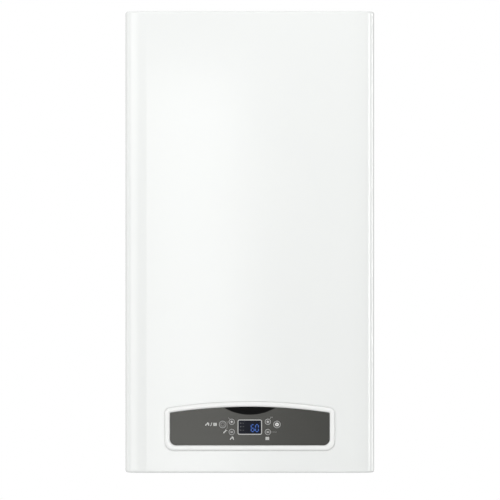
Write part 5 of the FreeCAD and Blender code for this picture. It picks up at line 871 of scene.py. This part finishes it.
def make_pump_details():
    """The motor's end shield with its ribs, vent plug and flange screws, and the terminal box's cover."""
    motor = box_of("pump_motor")
    across, height, _ = joint_place("pump_spin")
    face = seat(across, height, motor.front - SINK)
    shield = bmesh.new()
    turned(shield, face, SHIELD_PROFILE, steps=64)
    outwards = Matrix.Translation((SHIELD_RIB_REACH / METRE, 0, SHIELD_RIB_LIFT / METRE))
    for count in range(SHIELD_RIBS):
        turn = Matrix.Rotation(2 * math.pi * count / SHIELD_RIBS, 4, "Z")
        block(shield, face @ turn @ outwards, *SHIELD_RIB)
    keep("pump_end_shield", shield, "case", "motor_black")
    mesh = bmesh.new()
    turned(mesh, face, VENT_PLUG_PROFILE)
    keep("pump_vent_plug", mesh, "case", "brass")
    mesh = bmesh.new()
    for turn in (math.pi / 4, 3 * math.pi / 4, 5 * math.pi / 4, 7 * math.pi / 4):
        side, lift = FLANGE_SCREW_REACH * math.cos(turn), FLANGE_SCREW_REACH * math.sin(turn)
        screw(mesh, seat(across + side, height + lift, motor.back + FLANGE_SHEET - SINK), PUMP_SCREW)
    screw(mesh, seat(across, motor.top + TERMINAL_SCREW_LIFT, motor.back + TERMINAL_OUT, "up"), PUMP_SCREW)
    keep("pump_screws", mesh, "case", "screw_steel")
    mesh = bmesh.new()
    level = motor.top - GLAND_DROP
    block(mesh, seat(across, motor.top - SINK, motor.back + TERMINAL_OUT, "up"), *TERMINAL_COVER)
    block(mesh, seat(across, level, motor.back + TERMINAL_FRONT - SINK), *TERMINAL_PLATE)
    turned(mesh, seat(across, level, motor.back + GLAND_OUT), GLAND_PROFILE, steps=12)
    keep("pump_terminal_cover", mesh, "case", "black_plastic")


# The gas valve's two coils. The band's points reach out from the coil's own radius.
COIL_ACROSS, COIL_HEIGHT, COIL_RADIUS, COIL_LENGTH = 19, 196, 16, 34
BAND_PROFILE = [(-0.4, 0), (0.7, 0), (0.9, 0.6), (0.9, 20.4), (0.7, 21), (-0.4, 21), (-0.4, 0)]
BAND_SETBACK = 27
COIL_CAP_PROFILE = [(0, 1.6), (12.6, 1.6), (13.6, 1), (13.6, 0), (0, -0.1)]
# The plug on a coil and its lead: lift from the coil's top, and setback from its face
COIL_PLUG, COIL_PLUG_LIFT, COIL_PLUG_SETBACK = ((15, 17, 11), 2, 1.2), -0.6, 16.5
COIL_LEAD, COIL_LEAD_LIFT, COIL_LEAD_SETBACK = ((11, 7, 5), 1, 0.8), 5, 8.2
COIL_NUT, COIL_NUT_OUT = (6.2, 4), 1.2
STUD_PROFILE, STUD_OUT = [(0, 3), (2.2, 3), (2.8, 2.4), (2.8, -0.2), (0, -0.2)], 5
VALVE_SCREWS_ACROSS, VALVE_SCREWS_HEIGHT = (-34, 34), (166, 226)
NIPPLES_ACROSS, NIPPLE_HEIGHT = (-11, 11), 169
NIPPLE_NUT = (5, 4)
NIPPLE_PROFILE = [(0, 8), (0.9, 8), (1, 9.4), (2.6, 9.4), (3.2, 8.6), (3.2, 3.6), (0, 3.6)]


def make_gas_valve_details():
    """Coil caps, bands and plugs, and the screws and test nipples on the valve's face."""
    valve = box_of("gas_valve")
    face = valve.front - COIL_LENGTH - SINK
    top = COIL_HEIGHT + COIL_RADIUS
    band = [(COIL_RADIUS + reach, lift) for reach, lift in BAND_PROFILE]
    dark = bmesh.new()
    steel = bmesh.new()
    for across in (-COIL_ACROSS, COIL_ACROSS):
        turned(dark, seat(across, COIL_HEIGHT, valve.front - BAND_SETBACK), band, steps=48)
        turned(dark, seat(across, COIL_HEIGHT, valve.front - SINK), COIL_CAP_PROFILE, steps=40)
        block(dark, seat(across, top + COIL_PLUG_LIFT, valve.front - COIL_PLUG_SETBACK, "up"), *COIL_PLUG)
        block(dark, seat(across, top + COIL_LEAD_LIFT, valve.front - COIL_LEAD_SETBACK), *COIL_LEAD)
        hexagon(steel, seat(across, COIL_HEIGHT, valve.front + COIL_NUT_OUT), *COIL_NUT)
        turned(steel, seat(across, COIL_HEIGHT, valve.front + STUD_OUT), STUD_PROFILE, steps=20)
    for across in VALVE_SCREWS_ACROSS:
        for height in VALVE_SCREWS_HEIGHT:
            screw(steel, seat(across, height, face))
    keep("coil_caps", dark, "case", "black_plastic")
    keep("gas_valve_screws", steel, "case", "screw_steel")
    mesh = bmesh.new()
    for across in NIPPLES_ACROSS:
        place = seat(across, NIPPLE_HEIGHT, face)
        hexagon(mesh, place, *NIPPLE_NUT)
        turned(mesh, place, NIPPLE_PROFILE, steps=24)
    keep("gas_test_nipples", mesh, "case", "brass")


DIVERTER_CAP = ((38, 38, 4), 5, 1.8)
DIVERTER_RIB, DIVERTER_RIBS_ACROSS, DIVERTER_RIB_DROP = ((2.2, 30, 1.8), 0.8, 0.6), (-12, -6, 0, 6, 12), 22
# The plug and its lead: lift from the actuator's foot
DIVERTER_PLUG, DIVERTER_LEAD, DIVERTER_PLUG_LIFT = ((24, 14, 9), 2, 1.2), ((17, 8, 5), 1.2, 0.8), 13
DIVERTER_LEAD_OUT = 8
DIVERTER_SCREWS_ACROSS, DIVERTER_SCREW_LIFT = (-12, 12), 3.6


def make_diverter_details():
    """The actuator's cap, ribs and plug."""
    motor = box_of("diverter_motor")
    across, out = (motor.left + motor.right) / 2, (motor.back + motor.front) / 2
    face = motor.front - SINK
    mesh = bmesh.new()
    block(mesh, seat(across, motor.top - SINK, out, "up"), *DIVERTER_CAP)
    for side in DIVERTER_RIBS_ACROSS:
        block(mesh, seat(across + side, motor.top - DIVERTER_RIB_DROP, face), *DIVERTER_RIB)
    level = motor.base + DIVERTER_PLUG_LIFT
    block(mesh, seat(across, level, face), *DIVERTER_PLUG)
    block(mesh, seat(across, level, motor.front + DIVERTER_LEAD_OUT), *DIVERTER_LEAD)
    keep("diverter_cap", mesh, "case", "group_plastic")
    mesh = bmesh.new()
    for side in DIVERTER_SCREWS_ACROSS:
        screw(mesh, seat(across + side, motor.top + DIVERTER_SCREW_LIFT, out, "up"), SMALL_SCREW)
    keep("diverter_screws", mesh, "case", "screw_steel")


GROUP_BASE, GROUP_TOP = 42, 100
RIB, RIB_EDGE, UPRIGHTS = 2.4, 0.7, 8
# Gaps from the ribs to the group's sides and ends, and to the safety valve
UPRIGHT_SIDE_GAP, UPRIGHT_END_GAP, UPRIGHT_VALVE_GAP = 3, 2, 20
RAIL_SIDE_GAP, RAIL_END_GAP, RAIL_VALVE_GAP = 2, 4, 4


def make_group_ribs():
    """A lattice of moulded ribs on the front of the two water groups, clear of the safety valve."""
    valve = box_of("safety_valve")
    mesh = bmesh.new()
    middle = (GROUP_BASE + GROUP_TOP) / 2
    high = GROUP_TOP - GROUP_BASE - 2 * UPRIGHT_END_GAP
    for node in ("flow_group", "return_group"):
        group = box_of(node)
        face = group.front - SINK
        pitch = (group.right - group.left - 2 * UPRIGHT_SIDE_GAP) / (UPRIGHTS - 1)
        for number in range(UPRIGHTS):
            across = group.left + UPRIGHT_SIDE_GAP + number * pitch
            if abs(across - (valve.left + valve.right) / 2) > UPRIGHT_VALVE_GAP:
                block(mesh, seat(across, middle, face), (RIB, high, RIB), 0, RIB_EDGE)
        left, right = group.left + RAIL_SIDE_GAP, group.right - RAIL_SIDE_GAP
        stretches = [(left, right)]
        if node == "return_group":
            stretches = [(left, valve.left - RAIL_VALVE_GAP), (valve.right + RAIL_VALVE_GAP, right)]
        for start, end in stretches:
            for height in (GROUP_BASE + RAIL_END_GAP, middle, GROUP_TOP - RAIL_END_GAP):
                block(mesh, seat((start + end) / 2, height, face), (end - start, RIB, RIB), 0, RIB_EDGE)
    keep("group_ribs", mesh, "case", "group_plastic")


PLATE_RIMS, PLATE_RIM_GAP, PLATE_RIM_SIDE_GAP = 10, 5, 12
PLATE_RIM_WIDTH, PLATE_RIM_HEIGHT, PLATE_RIM_EDGE = 2, 1.3, 0.5
CHEVRON = [([(-42, 0), (0, 12), (42, 0)], 2.6)]
CHEVRONS, CHEVRON_PITCH = 7, 8


def make_plate_edges():
    """The stacked rims and the pressed chevrons of the plate exchanger."""
    plate = box_of("plate_exchanger")
    rim = (plate.right - plate.left - 2 * PLATE_RIM_SIDE_GAP, PLATE_RIM_WIDTH, PLATE_RIM_HEIGHT)
    pitch = (plate.front - plate.back - 2 * PLATE_RIM_GAP) / (PLATE_RIMS - 1)
    mesh = bmesh.new()
    for count in range(PLATE_RIMS):
        out = plate.back + PLATE_RIM_GAP + count * pitch
        block(mesh, seat(0, plate.top - SINK, out, "up"), rim, 0, PLATE_RIM_EDGE)
    for count in range(CHEVRONS):
        draw(mesh, CHEVRON, (0, plate.base + (count + 1) * CHEVRON_PITCH), plate.front)
    keep("plate_rims", mesh, "case", "steel_sheet")


LOUVRE, LOUVRE_STEPS = ((9, 46, 2), 4.4, 0.9), 6
LOUVRES, LOUVRE_FIRST, LOUVRE_PITCH, LOUVRE_HEIGHT = 14, -130, 20, 44
LID_SOCKET, LID_SOCKETS_ACROSS, LID_SOCKET_DROP = ((26, 12, 7), 1.5, 0.8), (-130, -90, -50, 50, 90, 130), 20
PIN, PINS_ACROSS, PIN_OUT = ((5, 8, 2.4), 0.8, 0.5), (-8, 0, 8), 6.8
LID_SCREW_INSET = 12


def make_lid_details():
    """Louvres, sockets and screws on the back of the control box."""
    lid = box_of("control_lid")
    face = lid.back + SINK
    mesh = bmesh.new()
    for count in range(LOUVRES):
        across = LOUVRE_FIRST + count * LOUVRE_PITCH
        block(mesh, seat(across, lid.base + LOUVRE_HEIGHT, face, "back"), *LOUVRE, LOUVRE_STEPS)
    keep("lid_louvres", mesh, "control", "black_plastic")
    mesh = bmesh.new()
    level = lid.top - LID_SOCKET_DROP
    for across in LID_SOCKETS_ACROSS:
        block(mesh, seat(across, level, face, "back"), *LID_SOCKET)
        for pin in PINS_ACROSS:
            block(mesh, seat(across + pin, level, face - PIN_OUT, "back"), *PIN)
    keep("lid_sockets", mesh, "control", "housing_grey")
    mesh = bmesh.new()
    for across in (lid.left + LID_SCREW_INSET, lid.right - LID_SCREW_INSET):
        for height in (lid.base + LID_SCREW_INSET, lid.top - LID_SCREW_INSET):
            screw(mesh, seat(across, height, face, "back"))
    keep("lid_screws", mesh, "control", "screw_steel")


COLLAR_SHEET, COLLAR_SCREW_INSET = 2, 8


def make_collar_screws():
    """Screws at the corners of the flue collar's plate."""
    collar = box_of("flue_collar")
    face = box_of("air_chamber").top + COLLAR_SHEET
    mesh = bmesh.new()
    for across in (collar.left + COLLAR_SCREW_INSET, collar.right - COLLAR_SCREW_INSET):
        for out in (collar.back + COLLAR_SCREW_INSET, collar.front - COLLAR_SCREW_INSET):
            screw(mesh, seat(across, face, out, "up"))
    keep("collar_screws", mesh, "case", "screw_steel")


# Studio

# The photograph's frame and the casing's edges in it, in pixels
PICTURE = 500
CASE_HEAD, CASE_FOOT, CASE_MIDDLE = 11.8, 472.2, 249.8
# How far the casing's rounded outline lies behind its front, and the camera in front of it
OUTLINE_BEHIND = 16.6
DISTANCE = 4000
SENSOR = 36


def add_camera():
    """A long lens straight in front, framed as the photograph is."""
    case = box_of("front_cover")
    scale = (case.top - case.base) / (CASE_FOOT - CASE_HEAD)
    lens = bpy.data.cameras.new("camera")
    lens.sensor_width = SENSOR
    lens.lens = SENSOR * (DISTANCE + OUTLINE_BEHIND) / (PICTURE * scale)
    holder = new_object("camera", lens)
    holder.location = at(scale * (PICTURE / 2 - CASE_MIDDLE), scale * (CASE_FOOT - PICTURE / 2),
                         case.front + DISTANCE)
    holder.rotation_euler = (math.pi / 2, 0, 0)
    bpy.context.scene.camera = holder


# The room's light, which falls off towards the right, and where that starts and ends
ROOM_TONE = (0.99, 1.0, 0.99)
ROOM_LIGHT, ROOM_LIGHT_RIGHT = 0.595, 0.446
ROOM_MIDDLE, ROOM_RIGHT = 0.0, 0.9


def add_world():
    """A white room that lights the boiler more softly than it looks."""
    world = bpy.data.worlds.new("studio")
    bpy.context.scene.world = world
    world.use_nodes = True
    world.node_tree.nodes.clear()
    tree = Thread(world.node_tree)
    seen = tree.node("LightPath", out="Is Camera Ray")
    mirrored = tree.node("LightPath", out="Is Glossy Ray")
    through = tree.node("LightPath", out="Is Transmission Ray")
    direct = tree.sum("MINIMUM", seen + mirrored + through, 1.0)
    way = tree.node("TexCoord", out="Generated")
    side = tree.node("SeparateXYZ", {"Vector": way}, out="X")
    right = step(tree, side, ROOM_MIDDLE, ROOM_RIGHT)
    bright = tree.node("Background", {"Color": ROOM_TONE, "Strength": ROOM_LIGHT})
    dim = tree.node("Background", {"Color": ROOM_TONE, "Strength": ROOM_LIGHT_RIGHT})
    white = tree.node("Background", {"Color": grey(1), "Strength": 1.0})
    room = blend(tree, right, bright, dim)
    tree.node("OutputWorld", {"Surface": blend(tree, direct, room, white)})


# The floor, in metres: half its side, its middle, and where it starts and ends to fade
FLOOR_HALF = 3.2
FLOOR_MIDDLE = (0, -0.16, -1.15)
FADE_START, FADE_END = 1.5, 3.0


def add_floor():
    """A pale floor that fades into the white round about, open when seen from below."""
    mesh = bmesh.new()
    bmesh.ops.create_grid(mesh, x_segments=1, y_segments=1, size=FLOOR_HALF,
                          matrix=Matrix.Translation(FLOOR_MIDDLE))
    data = mesh_data("floor", mesh)
    floor = new_object("floor", data)
    finish, tree = new_finish("pale_floor")
    where = places(tree)
    reach = tree.node("VectorMath", {0: where}, {"operation": "LENGTH"}, out="Value")
    below = tree.node("NewGeometry", out="Backfacing")
    fade = step(tree, reach, FADE_START, FADE_END)
    grain = mottle(tree, where, scale=40)
    pale = tree.node("BsdfPrincipled", {
        "Base Color": between(tree, grain, grey(0.90), grey(0.92)),
        "Roughness": 0.8, "Specular IOR Level": 0.1})
    clear = tree.node("BsdfTransparent")
    mixed = blend(tree, tree.sum("MAXIMUM", fade, below), pale, clear)
    tree.node("OutputMaterial", {"Surface": mixed})
    data.materials.append(finish)


def add_lamp(name, place, target, size, power, diffuse=True, glossy=True):
    lamp = bpy.data.lights.new(name, "AREA")
    lamp.shape = "RECTANGLE"
    lamp.size, lamp.size_y = size
    lamp.energy = power
    holder = new_object(name, lamp)
    holder.location = place
    holder.rotation_euler = (Vector(target) - Vector(place)).to_track_quat("-Z", "Y").to_euler()
    holder.visible_camera = False
    holder.visible_diffuse = diffuse
    holder.visible_glossy = glossy


# The casing's front edges, which three of the lamps point at, in metres
RIGHT_EDGE = (0.19, -0.31, -0.3)
LEFT_EDGE = (-0.19, -0.31, -0.3)


def light_studio():
    """Softboxes, placed and sized in metres. Some light only what is matt, or only what is glossy."""
    add_lamp("middle_softbox", place=(-0.243, -6.3, -0.75), target=(-0.243, -0.3, -0.75), size=(0.43, 2.3),
             power=6.9)
    add_lamp("left_softbox", place=(-2.5, -3.9, 0.2), target=(0, -0.3, -0.2), size=(2.0, 3.0), power=30)
    add_lamp("top_softbox", place=(0.3, -2.2, 1.1), target=(0, -0.3, -0.1), size=(2.0, 1.2), power=21.5,
             glossy=False)
    add_lamp("right_softbox", place=(2.52, -2.2, -0.3), target=RIGHT_EDGE, size=(0.75, 2.6), power=44,
             diffuse=False)
    add_lamp("side_softbox", place=(3.16, 0.11, -0.3), target=RIGHT_EDGE, size=(1.1, 2.6), power=60,
             diffuse=False)
    add_lamp("edge_softbox", place=(-3.2, -0.4, -0.3), target=LEFT_EDGE, size=(1.6, 2.6), power=18,
             diffuse=False)


bpy.context.scene.view_settings.view_transform = "Standard"
add_camera()
add_world()
add_floor()
light_studio()
dress_nodes()
make_panel_signs()
make_bezel_skirt()
make_display()
make_button_marks()
make_gauge_dial()
make_back_pressings()
make_unions()
make_pump_details()
make_gas_valve_details()
make_diverter_details()
make_group_ribs()
make_plate_edges()
make_lid_details()
make_collar_screws()
